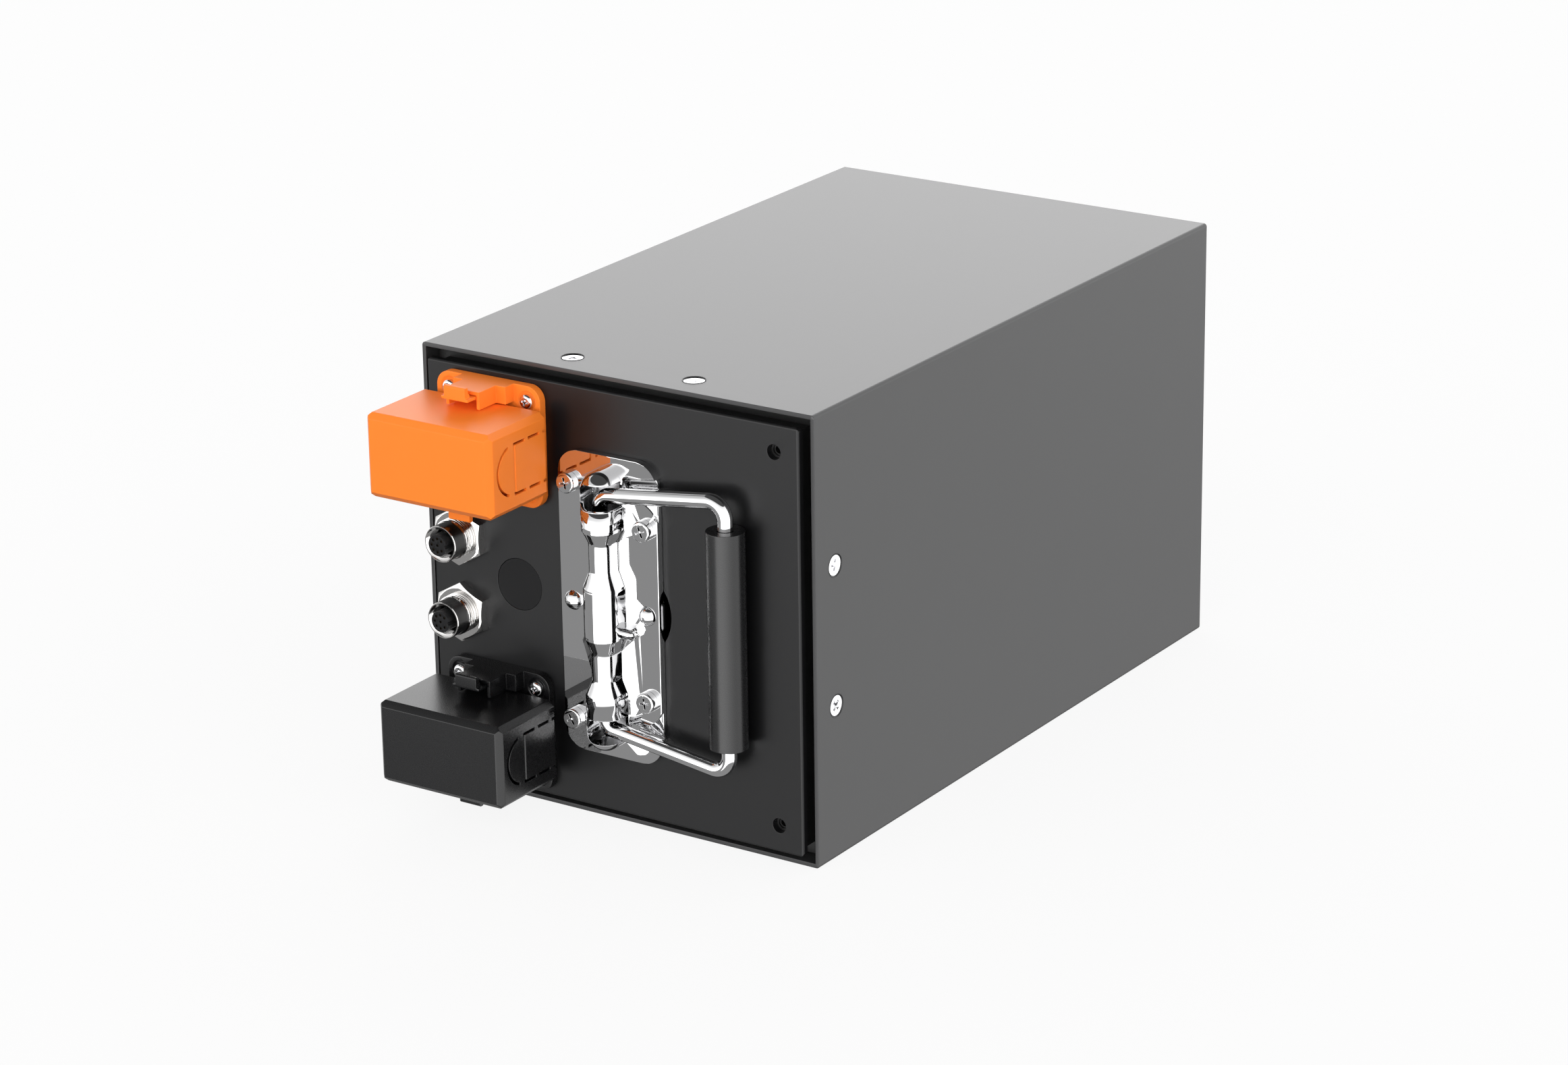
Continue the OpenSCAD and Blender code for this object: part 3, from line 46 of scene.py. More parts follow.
# Sizes and places are in millimetres, unless a name ends in _M, and MM turns them into metres
MM = 0.001
JOIN_M = 1e-7
CAD_JOIN_M = 2e-6
PLANE_M = 1e-8
FINE_TURN = 96
PLAIN_TURN = 48
FORWARD = Matrix(((1, 0, 0), (0, 0, -1), (0, 1, 0)))
BACKWARD = Matrix(((-1, 0, 0), (0, 0, 1), (0, 1, 0)))

# Places on the module; the case is square, so its middle's height is also half its width
CASE_MIDDLE = 90.0
PANEL_FACE = -153.4
REAR_FACE = 153.4
FLUSH_SINK = 0.25
CASE_SCREW_ASIDE = 28
CASE_SCREW_Y = -136.8
REAR_SCREW_EDGE = 75.5
REAR_SCREW_ASIDE = 40
REAR_SCREW_UP = 45
BASE_X = -53.6
BASE_RISE = 58.4
BASE_SCREW_FACE = -156.2
BASE_SCREW_ASIDE = 18.3
SOCKET_X = -71.5
SOCKET_RISE = 15.7
SOCKET_NUT = 21.0
HINGE = (0.65, -161.2, CASE_MIDDLE)
HINGE_RISE = 4.6
PLATE_SCREW_FACE = HINGE[1] + HINGE_RISE
RIVET_ASIDE = 17.2
GRIP_X = 57.5

# The photograph's camera: its place, the three directions of its frame and its lens
CAMERA_PLACE_M = (0.964559, -1.485282, 0.702510)
CAMERA_TURN = Matrix(((0.83513779, -0.17357282, 0.52193616),
                      (0.54987513, 0.28674709, -0.78448291),
                      (-0.01349876, 0.94215104, 0.33491671)))
SENSOR_WIDTH = 36.0
LENS = 105.706
FAR_END_M = 50.0

# The room's light by direction; heights run from -1 straight down to 1 straight up
WALL_BASE = 0.7
WALL_FOOT = (-0.27, -0.26)
LOW_WALL_FOOT = (-0.62, -0.56)
LOW_WALL_WAY = (0.899, -0.438)
LOW_WALL_EDGE = (-0.02, 0.02)
CEILING_EDGE = (0.70, 0.745)
CEILING_GREY = 0.09
FLOOR_GREY = 0.38
LAMP_FADE = (0.05, 0.6)
# Each wall lamp: the way it stands in, its strength and the share of it that fades upwards
WALL_LAMPS = (
    ((0, -1), 3.7, 0.75),
    ((0, 1), 0.85, 0.0),
    ((1, 0), 1.4, 0.0),
    ((-0.55, 0.83), 1.7, 0.0),
)

# The floor: its tone under the shadow, its tone for bounced light, and how white the camera sees it
FLOOR_RADIUS_M = 6.0
FLOOR_DROP_M = 0.0002
FLOOR_TONE = (0.9, 0.9, 0.9, 1)
FLOOR_BOUNCE = (0.2, 0.2, 0.2, 1)
FLOOR_WHITE = 0.88


# Shader helpers

def node(tree, kind, **values):
    """A new node with its settings."""
    made = tree.nodes.new(kind)
    for name, value in values.items():
        setattr(made, name, value)
    return made


def feed(tree, value, slot):
    """Sets an input to a number, or links an output to it."""
    if isinstance(value, (int, float)):
        slot.default_value = value
    else:
        tree.links.new(value, slot)


def maths(tree, kind, first, second):
    """A maths step on two outputs or numbers."""
    made = node(tree, "ShaderNodeMath", operation=kind)
    feed(tree, first, made.inputs[0])
    feed(tree, second, made.inputs[1])
    return made.outputs[0]


def along(tree, x, y, way):
    """How far a direction points along a level way."""
    part_x, part_y = maths(tree, "MULTIPLY", x, way[0]), maths(tree, "MULTIPLY", y, way[1])
    return maths(tree, "ADD", part_x, part_y)


def blend(tree, share, first, second):
    """The first value where the share is 0 and the second where it is 1."""
    change = maths(tree, "SUBTRACT", second, first)
    return maths(tree, "ADD", maths(tree, "MULTIPLY", share, change), first)


def step_up(tree, value, low, high):
    """Soft step from 0 at low to 1 at high."""
    made = node(tree, "ShaderNodeMapRange", interpolation_type="SMOOTHSTEP")
    made.inputs["From Min"].default_value = low
    made.inputs["From Max"].default_value = high
    tree.links.new(value, made.inputs["Value"])
    return made.outputs[0]


def mixed(tree, share, first, second):
    """The first shader where the share is 0 and the second where it is 1."""
    made = node(tree, "ShaderNodeMixShader")
    feed(tree, share, made.inputs[0])
    tree.links.new(first.outputs[0], made.inputs[1])
    tree.links.new(second.outputs[0], made.inputs[2])
    return made


# Camera and studio

def place_camera():
    """The photograph's view."""
    data = bpy.data.cameras.new("studio_camera")
    data.sensor_width = SENSOR_WIDTH
    data.lens = LENS
    data.clip_end = FAR_END_M
    camera = bpy.data.objects.new("studio_camera", data)
    camera.matrix_world = Matrix.Translation(CAMERA_PLACE_M) @ CAMERA_TURN.to_4x4()
    bpy.context.scene.collection.objects.link(camera)
    bpy.context.scene.camera = camera


def light_studio():
    """Pale room with lamps along its walls, a mid grey floor and a dark ceiling.

    The camera sees it white. The lamp in front fades upwards. From the left front round to the
    right the walls reach further down.
    """
    world = bpy.data.worlds.new("studio")
    bpy.context.scene.world = world
    world.use_nodes = True
    tree = world.node_tree
    tree.nodes.clear()
    place = node(tree, "ShaderNodeTexCoord")
    split = node(tree, "ShaderNodeSeparateXYZ")
    tree.links.new(place.outputs["Generated"], split.inputs[0])
    x, y, z = split.outputs

    low_side = step_up(tree, along(tree, x, y, LOW_WALL_WAY), *LOW_WALL_EDGE)
    low_wall = maths(tree, "MULTIPLY", step_up(tree, z, *LOW_WALL_FOOT), low_side)
    wall = maths(tree, "MAXIMUM", step_up(tree, z, *WALL_FOOT), low_wall)
    height = step_up(tree, z, *LAMP_FADE)
    glow = WALL_BASE
    for way, strength, fade in WALL_LAMPS:
        facing = maths(tree, "MAXIMUM", along(tree, x, y, way), 0.0)
        lamp = maths(tree, "MULTIPLY", maths(tree, "MULTIPLY", facing, facing), strength)
        left = maths(tree, "SUBTRACT", 1.0, maths(tree, "MULTIPLY", height, fade))
        glow = maths(tree, "ADD", maths(tree, "MULTIPLY", lamp, left), glow)
    lower = blend(tree, wall, FLOOR_GREY, glow)
    whole = blend(tree, step_up(tree, z, *CEILING_EDGE), lower, CEILING_GREY)

    room = node(tree, "ShaderNodeBackground")
    white = node(tree, "ShaderNodeBackground")
    for light in (room, white):
        light.inputs["Color"].default_value = (1, 1, 1, 1)
    tree.links.new(whole, room.inputs["Strength"])
    ray = node(tree, "ShaderNodeLightPath")
    out = node(tree, "ShaderNodeOutputWorld")
    seen = mixed(tree, ray.outputs["Is Camera Ray"], room, white)
    tree.links.new(seen.outputs[0], out.inputs[0])


def lay_floor():
    """Pale floor: white to the camera with the module's soft shadow, clear to the chrome."""
    shape = bmesh.new()
    bmesh.ops.create_circle(shape, cap_ends=True, segments=96, radius=FLOOR_RADIUS_M)
    bmesh.ops.translate(shape, verts=shape.verts, vec=(0, 0, -FLOOR_DROP_M))
    floor = object_of("floor", shape, smooth=False)
    coat = bpy.data.materials.new("pale_floor")
    coat.use_nodes = True
    tree = coat.node_tree
    tree.nodes.clear()
    paint = node(tree, "ShaderNodeBsdfDiffuse")
    paint.inputs["Color"].default_value = FLOOR_TONE
    bounce = node(tree, "ShaderNodeBsdfDiffuse")
    bounce.inputs["Color"].default_value = FLOOR_BOUNCE
    white = node(tree, "ShaderNodeEmission")
    clear = node(tree, "ShaderNodeBsdfTransparent")
    ray = node(tree, "ShaderNodeLightPath")
    out = node(tree, "ShaderNodeOutputMaterial")
    seen = mixed(tree, FLOOR_WHITE, paint, white)
    unseen = mixed(tree, ray.outputs["Is Glossy Ray"], bounce, clear)
    whole = mixed(tree, ray.outputs["Is Camera Ray"], unseen, seen)
    tree.links.new(whole.outputs[0], out.inputs[0])
    floor.data.materials.append(coat)


# Finishes

def finish(name, color, rough, metallic=0.0, spread=0.06, patch=60.0, grain=2500.0, bump=0.02,
           rough_spread=0.05, brushed=(1, 1, 1), specular=0.5):
    """A surface with faint patches of tone and a fine grain of gloss and dents, in object space."""
    made = bpy.data.materials.new(name)
    made.use_nodes = True
    tree = made.node_tree
    shader = tree.nodes["Principled BSDF"]
    shader.inputs["Metallic"].default_value = metallic
    shader.inputs["Specular IOR Level"].default_value = specular
    place = node(tree, "ShaderNodeTexCoord")
    stretch = node(tree, "ShaderNodeMapping")
    stretch.inputs["Scale"].default_value = brushed
    tree.links.new(place.outputs["Object"], stretch.inputs["Vector"])
    patches = noise(tree, stretch, patch, 4)
    tone = node(tree, "ShaderNodeMix", data_type="RGBA")
    tone.inputs["A"].default_value = (*[c * (1 - spread) for c in color], 1)
    tone.inputs["B"].default_value = (*[min(1, c * (1 + spread)) for c in color], 1)
    tree.links.new(patches, tone.inputs["Factor"])
    tree.links.new(tone.outputs["Result"], shader.inputs["Base Color"])
    grains = noise(tree, stretch, grain, 3)
    gloss = node(tree, "ShaderNodeMapRange")
    gloss.inputs["To Min"].default_value = max(0.0, rough - rough_spread)
    gloss.inputs["To Max"].default_value = rough + rough_spread
    tree.links.new(grains, gloss.inputs["Value"])
    tree.links.new(gloss.outputs[0], shader.inputs["Roughness"])
    if bump:
        dents = node(tree, "ShaderNodeBump")
        dents.inputs["Strength"].default_value = bump
        dents.inputs["Distance"].default_value = 0.2 * MM
        tree.links.new(grains, dents.inputs["Height"])
        tree.links.new(dents.outputs[0], shader.inputs["Normal"])
    return made


def noise(tree, place, scale, detail):
    """Cloudy noise from 0 to 1."""
    made = node(tree, "ShaderNodeTexNoise")
    made.inputs["Scale"].default_value = scale
    made.inputs["Detail"].default_value = detail
    tree.links.new(place.outputs[0], made.inputs["Vector"])
    return made.outputs["Fac"]


FINISHES = {
    "case": finish("case_satin_black", (0.028, 0.028, 0.029), 0.34, spread=0.05, patch=40,
                   grain=3500, bump=0.05),
    "panel": finish("panel_satin_black", (0.006, 0.006, 0.0065), 0.32, spread=0.08, patch=40,
                    grain=3500, bump=0.04, specular=0.3),
    "frame_metal": finish("dark_milled_frame", (0.004, 0.004, 0.004), 0.5, spread=0.2,
                          brushed=(1, 12, 1)),
    "orange_cap": finish("orange_moulding", (1.0, 0.235, 0.028), 0.38, spread=0.02, grain=4000,
                         bump=0.03, specular=0.18),
    "black_cap": finish("black_moulding", (0.004, 0.004, 0.0045), 0.27, spread=0.1, grain=4000,
                        bump=0.03, specular=0.4),
    "bright_screw": finish("bright_zinc", (0.75, 0.75, 0.76), 0.07, metallic=1, spread=0.05,
                           rough_spread=0.03, bump=0.01),
    "handle_metal": finish("polished_chrome", (0.62, 0.62, 0.625), 0.03, metallic=1, spread=0.01,
                           rough_spread=0.01, bump=0),
    "grip_black": finish("satin_grip", (0.006, 0.006, 0.0065), 0.28, spread=0.1, grain=3000,
                         bump=0.03, specular=0.45),
    "socket_metal": finish("nickel_plate", (0.62, 0.61, 0.6), 0.08, metallic=1, spread=0.03,
                           bump=0.01),
    "black_plastic": finish("matt_black_plastic", (0.007, 0.007, 0.0075), 0.45, spread=0.1,
                            specular=0.12),
    "seal": finish("black_rubber", (0.01, 0.01, 0.01), 0.7, spread=0.15, bump=0.08),
    "brass": finish("turned_brass", (0.62, 0.42, 0.18), 0.25, metallic=1, brushed=(1, 1, 20)),
    "copper": finish("bare_copper", (0.74, 0.36, 0.22), 0.3, metallic=1, spread=0.12,
                     brushed=(1, 8, 1)),
    "steel": finish("plain_steel", (0.5, 0.5, 0.51), 0.3, metallic=1, spread=0.08,
                    brushed=(1, 1, 10)),
    "cell_blue": finish("blue_cell_wrap", (0.05, 0.14, 0.42), 0.35, spread=0.08),
    "pale_sheet": finish("pale_insulating_sheet", (0.78, 0.78, 0.74), 0.6, spread=0.04),
    "foam": finish("grey_foam", (0.1, 0.1, 0.105), 0.9, spread=0.25, grain=900, bump=0.4),
    "board": finish("green_board", (0.02, 0.14, 0.06), 0.3, spread=0.15, patch=300),
}


# Mesh helpers

def object_of(name, shape, smooth=True, sharp=35.0):
    """Makes an object of a bmesh, with even shading between its sharp edges."""
    mesh = bpy.data.meshes.new(name)
    shape.to_mesh(mesh)
    shape.free()
    made = bpy.data.objects.new(name, mesh)
    bpy.context.scene.collection.objects.link(made)
    if smooth:
        mesh.shade_smooth()
        mesh.set_sharp_from_angle(angle=math.radians(sharp))
        even = made.modifiers.new("even_faces", "WEIGHTED_NORMAL")
        even.keep_sharp = True
        even.weight = 100
    return made


def carry(piece, body, slot, *nodes):
    """Gives a piece its finish and its body, and hides the solids it stands for."""
    piece.data.materials.append(FINISHES[slot])
    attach(piece, body)
    if nodes:
        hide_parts(*nodes)
    return piece


def corners_in(geom):
    return [g for g in geom if isinstance(g, bmesh.types.BMVert)]


def edges_in(geom):
    return [g for g in geom if isinstance(g, bmesh.types.BMEdge)]


def tidy(shape):
    """Joins corners that lie on each other and turns every face outwards."""
    bmesh.ops.remove_doubles(shape, verts=shape.verts, dist=JOIN_M)
    bmesh.ops.recalc_face_normals(shape, faces=shape.faces)


def round_edges(shape, edges, width, segments, clamp):
    """Rounds edges to a width in millimetres."""
    bmesh.ops.bevel(shape, geom=edges, offset=width * MM, offset_type="OFFSET", segments=segments,
                    profile=0.5, affect="EDGES", clamp_overlap=clamp, material=-1)


def softened(name, width, slot, segments=2, sharp=28.0, chosen=None, crease=40.0):
    """A copy of a CAD node with its sharp edges rounded, or only those chosen."""
    shape = bmesh.new()
    shape.from_mesh(NODES[name].data)
    bmesh.ops.remove_doubles(shape, verts=shape.verts, dist=CAD_JOIN_M)
    bmesh.ops.dissolve_limit(shape, angle_limit=math.radians(0.4), verts=shape.verts,
                             edges=shape.edges)

    def is_wanted(edge):
        if len(edge.link_faces) != 2 or edge.calc_face_angle(0) <= math.radians(sharp):
            return False
        return chosen is None or chosen((edge.verts[0].co + edge.verts[1].co) / (2 * MM))

    round_edges(shape, [e for e in shape.edges if is_wanted(e)], width, segments, clamp=False)
    bmesh.ops.triangulate(shape, faces=[f for f in shape.faces if len(f.verts) > 4])
    return carry(object_of(name + "_dressed", shape, sharp=crease), "module", slot, name)


def chain(shape, points):
    """Corners at the points, in metres, each joined to the next by an edge."""
    verts = [shape.verts.new(p) for p in points]
    return verts, [shape.edges.new(pair) for pair in zip(verts, verts[1:])]


def lathe(profile, steps):
    """Turns a profile of (radius, height) about local z; one that starts off the axis is closed."""
    shape = bmesh.new()
    verts, edges = chain(shape, [(r * MM, 0, h * MM) for r, h in profile])
    if profile[0][0] > 0:
        edges.append(shape.edges.new((verts[-1], verts[0])))
    bmesh.ops.spin(shape, geom=verts + edges, cent=(0, 0, 0), axis=(0, 0, 1), angle=2 * math.pi,
                   steps=steps, use_merge=True)
    bmesh.ops.remove_doubles(shape, verts=shape.verts, dist=JOIN_M)
    return shape


def grow(shape, loop, way):
    """Draws a new row out of a loop of edges, moved by way in metres: its corners and edges."""
    grown = bmesh.ops.extrude_edge_only(shape, edges=loop)["geom"]
    verts = corners_in(grown)
    bmesh.ops.translate(shape, verts=verts, vec=way)
    return verts, [e for e in edges_in(grown) if all(v in verts for v in e.verts)]


def copies(name, master, places, slot, node_name):
    """One piece on the module made of a shape repeated at each matrix of places."""
    whole = bmesh.new()
    for place in places:
        mesh = bpy.data.meshes.new("copy")
        master.to_mesh(mesh)
        mesh.transform(place)
        whole.from_mesh(mesh)
        bpy.data.meshes.remove(mesh)
    master.free()
    return carry(object_of(name, whole), "module", slot, node_name)


def at(x, y, z, turn=FORWARD):
    """A place on the module, with local z out of the front unless another turn is given."""
    return Matrix.Translation(Vector((x, y, z)) * MM) @ turn.to_4x4()


def spun(degrees):
    """A turn about local z; each screw head gets its own, as after tightening."""
    return Matrix.Rotation(math.radians(degrees), 4, "Z")


def cross_head(profile, top_r, top_h, span, width, depth):
    """A screw: a turned outside that ends at its flat top, with a tapered cross recess in it."""
    taper, lip_round, lip_angle = 0.66, 0.05, 0.5
    shape = lathe(profile + [(top_r, top_h)], PLAIN_TURN)

    def on_top(part):
        return all(abs(v.co.z - top_h * MM) < PLANE_M for v in part.verts)

    rim = [e for e in shape.edges if e.is_boundary and on_top(e)]
    bmesh.ops.contextual_create(shape, geom=rim)
    long_half, slim_half = span / 2 * MM, width / 2 * MM
    for axis in (0, 1):
        for offset in (-long_half, -slim_half, slim_half, long_half):
            normal = Vector((1 - axis, axis, 0))
            flat = [f for f in shape.faces if on_top(f)]
            geom = set(flat)
            geom |= {e for f in flat for e in f.edges} | {v for f in flat for v in f.verts}
            bmesh.ops.bisect_plane(shape, geom=list(geom), dist=PLANE_M, plane_co=normal * offset,
                                   plane_no=normal)

    def in_cross(face):
        x, y = (abs(v) for v in face.calc_center_median()[:2])
        return on_top(face) and max(x, y) < long_half and min(x, y) < slim_half

    mouth = [f for f in shape.faces if in_cross(f)]
    lip = [e for f in mouth for e in f.edges if sum(g in mouth for g in e.link_faces) == 1]
    lip_verts = {v for e in lip for v in e.verts}
    floor = corners_in(bmesh.ops.extrude_face_region(shape, geom=mouth)["geom"])
    bmesh.ops.delete(shape, geom=[f for f in mouth if f.is_valid], context="FACES_ONLY")
    bmesh.ops.scale(shape, verts=floor, vec=(taper, taper, 1))
    bmesh.ops.translate(shape, verts=floor, vec=(0, 0, -depth * MM))
    tidy(shape)
    edge = [e for e in shape.edges if all(v in lip_verts for v in e.verts)
            and len(e.link_faces) == 2 and e.calc_face_angle(0) > lip_angle]
    round_edges(shape, edge, lip_round, 2, clamp=True)
    return shape


def flush_head(length, span, width, depth):
    """A countersunk screw of 4 mm that lies flush."""
    profile = [(0.0, -length), (2.0, -length), (2.0, -2.2), (4.08, -0.12)]
    return cross_head(profile, top_r=3.98, top_h=0.0, span=span, width=width, depth=depth)


def chamfered_hexagon(across, thick, chamfer, planes=48):
    """Hexagon prism along local z whose corners are turned off at a low cone on its front."""
    shape = bmesh.new()
    corner_r = across / 2 / math.cos(math.pi / 6) * MM
    bmesh.ops.create_cone(shape, cap_ends=True, segments=6, radius1=corner_r, radius2=corner_r,
                          depth=thick * MM, matrix=Matrix.Translation((0, 0, thick / 2 * MM)))
    slope = math.radians(30)
    for i in range(planes):
        angle = 2 * math.pi * i / planes
        outward = Vector((math.cos(angle) * math.sin(slope), math.sin(angle) * math.sin(slope),
                          math.cos(slope)))
        start = Vector((math.cos(angle), math.sin(angle), 0)) * (across / 2 - chamfer) * MM
        start.z = thick * MM
        geom = list(shape.verts) + list(shape.edges) + list(shape.faces)
        cut = bmesh.ops.bisect_plane(shape, geom=geom, dist=1e-9, plane_co=start, plane_no=outward,
                                     clear_outer=True)["geom_cut"]
        edges = [e for e in edges_in(cut) if e.is_boundary]
        if edges:
            bmesh.ops.contextual_create(shape, geom=edges)
    tidy(shape)
    return shape


# Case and panels

def dress_case():
    """Sleeve and panels with soft edges, and two flush screws near the front end of each side."""
    softened("case_sleeve", 0.18, "case")
    softened("front_panel", 0.15, "panel")
    softened("rear_panel", 0.15, "panel")
    places = []
    for turn in (0, 90, 180, 270):
        about_y = Matrix.Rotation(math.radians(turn), 4, "Y")
        for aside in (-CASE_SCREW_ASIDE, CASE_SCREW_ASIDE):
            out = Matrix.Translation(Vector((aside, CASE_SCREW_Y, CASE_MIDDLE - FLUSH_SINK)) * MM)
            places.append(Matrix.Translation((0, 0, CASE_MIDDLE * MM)) @ about_y @ out
                          @ spun(17 + turn + aside))
    head = flush_head(9.0, span=4.6, width=1.2, depth=1.8)
    copies("case_screw_heads", head, places, "bright_screw", "case_screws")


def dress_rear():
    """Eight flush screws round the rear panel, two along each edge."""
    y = REAR_FACE - FLUSH_SINK
    places = []
    for side in (-1, 1):
        for x in (-REAR_SCREW_ASIDE, REAR_SCREW_ASIDE):
            places.append(at(x, y, CASE_MIDDLE + side * REAR_SCREW_EDGE, BACKWARD))
        for up in (-REAR_SCREW_UP, REAR_SCREW_UP):
            places.append(at(side * REAR_SCREW_EDGE, y, CASE_MIDDLE + up, BACKWARD))
    places = [p @ Matrix.Rotation(0.4 + i * 0.7, 4, "Z") for i, p in enumerate(places)]
    head = flush_head(12.0, span=4.5, width=1.0, depth=1.3)
    copies("rear_screw_heads", head, places, "bright_screw", "rear_panel_screws")


# Terminals

def dress_terminals():
    """Bases and covers with soft edges, and a pan head screw in each corner of the bases."""
    for pole, slot in (("positive", "orange_cap"), ("negative", "black_cap")):
        softened(pole + "_base", 0.25, slot)
        softened(pole + "_cover", 0.22, slot)
    places = []
    for side in (1, -1):
        for x in (-BASE_SCREW_ASIDE, BASE_SCREW_ASIDE):
            for z in (-BASE_SCREW_ASIDE, BASE_SCREW_ASIDE):
                middle = CASE_MIDDLE + side * BASE_RISE
                places.append(at(BASE_X + x, BASE_SCREW_FACE, middle + z) @ spun(x * 2 + z + 24))
    profile = [(0.0, -5.6), (1.5, -5.6), (1.5, 0.0), (2.78, 0.0), (2.9, 0.12), (2.9, 1.2),
               (2.72, 1.75), (2.3, 2.12)]
    head = cross_head(profile, top_r=1.9, top_h=2.3, span=3.0, width=0.75, depth=1.1)
    copies("base_screw_heads", head, places, "bright_screw", "base_screws")


# Signal sockets

def turn_socket():
    """Socket shell: flange behind the panel, thread, collar and a ribbed mouth."""
    crest, root, rib, groove, bore = 8.0, 7.45, 5.85, 6.4, 5.3
    thread, height = [], 4.05
    while height < 6.9:
        thread += [(crest, height), (crest, height + 0.42), (root, height + 0.62),
                   (root, height + 0.87)]
        height += 1.07
    ribs, depth = [], 13.4
    while depth > 7.6:
        ribs += [(rib, depth), (groove, depth - 0.38), (groove, depth - 0.48), (rib, depth - 0.86)]
        depth -= 1.0
    behind = [(bore, -7.0), (10.0, -7.0), (10.0, -4.0), (crest, -4.0), (crest, 3.9)]
    collar = [(crest, 7.25), (7.9, 7.35), (7.4, 8.3), (7.4, 13.9), (7.2, 14.1), (6.85, 14.1),
              (groove, 13.65)]
    shell = lathe(behind + thread + collar + ribs + [(bore, 7.0)], FINE_TURN)
    tidy(shell)
    return shell


def dress_sockets():
    """Two threaded shells with their nuts, and softened inserts."""
    places = [at(SOCKET_X, PANEL_FACE, CASE_MIDDLE + side * SOCKET_RISE) for side in (1, -1)]
    copies("socket_threaded_shells", turn_socket(), places, "socket_metal", "socket_shells")
    nut = chamfered_hexagon(SOCKET_NUT, thick=4.0, chamfer=0.6)
    copies("socket_hexagon_nuts", nut, places, "socket_metal", "socket_nuts")
    softened("socket_inserts", 0.16, "black_plastic", crease=24.0)


# Handle

def swept_wire(shape, steps, radius, sides=32):
    """Round wire along x, then bent to the left for each (straight, angle, bend radius)."""
    ring = bmesh.ops.create_circle(shape, cap_ends=False, segments=sides, radius=radius * MM,
                                   matrix=Matrix.Rotation(math.pi / 2, 4, "Y"))["verts"]
    loop = [e for e in shape.edges if all(v in ring for v in e.verts)]
    first = list(loop)
    place, heading = Vector((0, 0, 0)), 0.0
    for straight, angle, bend in steps:
        way = Vector((math.cos(heading), math.sin(heading), 0))
        verts, loop = grow(shape, loop, way * straight * MM)
        place = place + way * straight * MM
        if angle:
            centre = place + Vector((-way.y, way.x, 0)) * bend * MM
            loop = edges_in(bmesh.ops.spin(shape, geom=loop + verts, cent=centre, axis=(0, 0, 1),
                                           angle=math.radians(angle), steps=24)["geom_last"])
            heading += math.radians(angle)
            place = centre + Vector((math.sin(heading), -math.cos(heading), 0)) * bend * MM
    for ends in (first, loop):
        bmesh.ops.contextual_create(shape, geom=ends)
    tidy(shape)


def rounded_steps(points, reach, count=5):
    """The polyline with each inner corner turned into a short curve."""
    line = [points[0]]
    for before, corner, after in zip(points, points[1:], points[2:]):
        start = corner + (before - corner).normalized() * reach
        end = corner + (after - corner).normalized() * reach
        for i in range(count + 1):
            s = i / count
            line.append(start * (1 - s) ** 2 + corner * 2 * s * (1 - s) + end * s ** 2)
    return line + [points[-1]]


def mould_barrel():
    """The barrel between its arm slots: half round in front, its walls flare into the plate."""
    foot, foot_steps, wall = 0.9, 5, 0.3
    half = [(41.9, 7.53), (33.4, 7.53), (27.9, 5.03), (16.2, 5.03), (10.0, 7.53)]
    points = [Vector((r, 0, -z)) for z, r in half] + [Vector((r, 0, z)) for z, r in reversed(half)]
    shape = bmesh.new()
    verts, first = chain(shape, [p * MM for p in rounded_steps(points, 1.0)])
    last = edges_in(bmesh.ops.spin(shape, geom=verts + first, cent=(0, 0, 0), axis=(0, 0, 1),
                                   angle=-math.pi, steps=PLAIN_TURN)["geom_last"])
    path = [(0, HINGE_RISE - foot)]
    for i in range(1, foot_steps + 1):
        angle = math.radians(90 / foot_steps * i)
        path.append((foot * (1 - math.cos(angle)), HINGE_RISE - foot + foot * math.sin(angle)))
    for loop, side in ((first, 1), (last, -1)):
        before = Vector((0, 0, 0))
        for out, back in path:
            now = Vector((side * out, back, 0))
            loop = grow(shape, loop, (now - before) * MM)[1]
            before = now
    tidy(shape)
    hinge = Vector(HINGE) * MM
    bmesh.ops.transform(shape, matrix=Matrix.Translation(hinge), verts=shape.verts)
    if sum((f.calc_center_median() - hinge).dot(f.normal) for f in shape.faces) < 0:
        bmesh.ops.reverse_faces(shape, faces=shape.faces)
    piece = object_of("barrel_front", shape, sharp=60.0)
    inwards = piece.modifiers.new("wall", "SOLIDIFY")
    inwards.thickness = wall * MM
    inwards.offset = -1
    carry(piece, "module", "handle_metal")


def bend_bail():
    """The handle's wire, from the lower stub round the grip to the upper stub."""
    reach, rise, root, root_bend, grip_bend, start = 56.85, 7.6, 46.8, 5.0, 6.5, 1.2
    wire_r = 3.05
    slope = math.degrees(math.atan2(rise, reach))
    root_turn, grip_turn = 90 - slope, 90 + slope
    root_trim = root_bend * math.tan(math.radians(root_turn / 2))
    grip_trim = grip_bend * math.tan(math.radians(grip_turn / 2))
    stub = root - start - root_trim
    arm = math.hypot(reach, rise) - root_trim - grip_trim
    back = 2 * (root + rise - grip_trim)
    shape = bmesh.new()
    swept_wire(shape, [(stub, root_turn, root_bend), (arm, grip_turn, grip_bend),
                       (back, grip_turn, grip_bend), (arm, root_turn, root_bend), (stub, 0, 0)],
               wire_r)
    downward = Matrix(((0, 1, 0), (0, 0, -1), (-1, 0, 0)))
    place = at(HINGE[0], HINGE[1], HINGE[2] - start, downward)
    bmesh.ops.transform(shape, matrix=place, verts=shape.verts)
    carry(object_of("bail_wire", shape), "handle", "handle_metal", "bail")


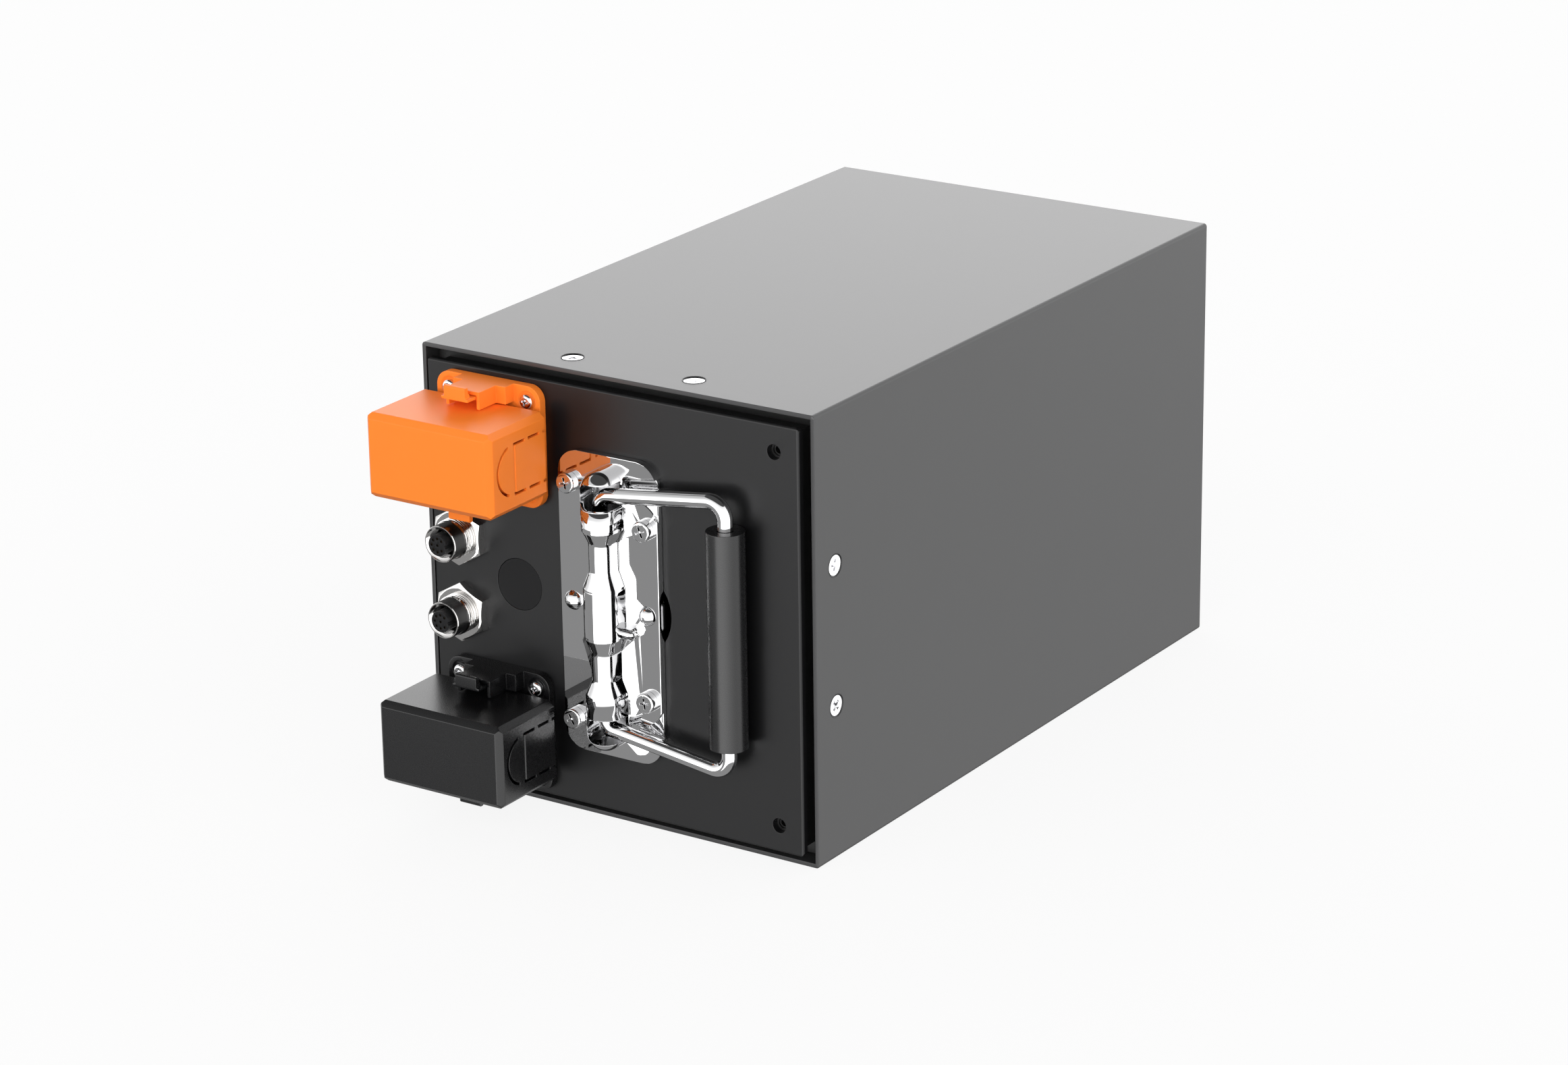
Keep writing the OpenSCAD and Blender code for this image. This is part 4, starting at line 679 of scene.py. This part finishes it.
def turn_grip():
    """The tube on the bail, with rounded ends."""
    half = 43.2
    end = [(3.12, 0.4), (3.5, 0.0), (7.2, 0.0), (7.42, 0.08), (7.5, 0.3)]
    shape = lathe([(r, inset - half) for r, inset in end]
                  + [(r, half - inset) for r, inset in reversed(end)], FINE_TURN)
    tidy(shape)
    place = Matrix.Translation(Vector((GRIP_X, HINGE[1], CASE_MIDDLE)) * MM)
    bmesh.ops.transform(shape, matrix=place, verts=shape.verts)
    carry(object_of("grip_tube", shape), "handle", "grip_black", "grip")


def round_rivets():
    """The two rivets that hold the plate's keeper, with domed heads."""
    stem, neck, rise, radius, rings = 2.0, 3.2, 2.6, 3.9, 14
    cap = (radius ** 2 + rise ** 2) / (2 * rise)
    angles = [math.asin(radius / cap) * i / rings for i in range(rings + 1)]
    arc = [(cap * math.sin(a), neck + rise - cap + cap * math.cos(a)) for a in angles]
    dome = lathe([(0.0, 0.0), (stem, 0.0), (stem, neck)] + arc[:0:-1] + [(0.0, neck + rise)],
                 PLAIN_TURN)
    tidy(dome)
    places = [at(HINGE[0] + x, PANEL_FACE, CASE_MIDDLE) for x in (-RIVET_ASIDE, RIVET_ASIDE)]
    copies("rivet_domes", dome, places, "handle_metal", "handle_rivets")


def dress_handle():
    """Plate, barrel, bail and grip, and the plate's pan head screws and rivets."""
    plate_half_w, plate_half_h, slot_reach, slot_low, slot_high = 22.5, 60.5, 3, 41, 54

    def is_outline_or_slot(p):
        aside, up = abs(p.x - HINGE[0]), abs(p.z - CASE_MIDDLE)
        in_slot = p.y < HINGE[1] + slot_reach and slot_low < up < slot_high
        return aside > plate_half_w or up > plate_half_h or in_slot

    softened("handle_plate", 0.3, "handle_metal", segments=3, sharp=40, chosen=is_outline_or_slot,
             crease=24)
    mould_barrel()
    bend_bail()
    turn_grip()
    profile = [(0.0, -11.0), (2.5, -11.0), (2.5, 0.0), (4.05, 0.0), (4.15, 0.1), (4.15, 2.55),
               (4.05, 2.95), (3.8, 3.25)]
    head = cross_head(profile, top_r=3.45, top_h=3.4, span=4.4, width=0.8, depth=1.6)
    places = [at(HINGE[0] + x, PLATE_SCREW_FACE, CASE_MIDDLE + z) @ spun(turn) for x, z, turn in
              ((-17.45, 48, 12), (-17.45, -48, 30), (17.05, 34.6, 22), (17.05, -34.6, 8))]
    copies("plate_screw_heads", head, places, "handle_metal", "handle_screws")
    round_rivets()


def paint_the_rest():
    """Every carried-over solid gets the finish that the record names for it."""
    slots = {s["node"]: s["material_slot"] for s in frame["record"]["subparts"]}
    for name, piece in NODES.items():
        piece.data.materials.clear()
        piece.data.materials.append(FINISHES[slots[name]])


bpy.context.scene.view_settings.view_transform = "Standard"
place_camera()
light_studio()
lay_floor()
paint_the_rest()
dress_case()
dress_terminals()
dress_sockets()
dress_handle()
dress_rear()
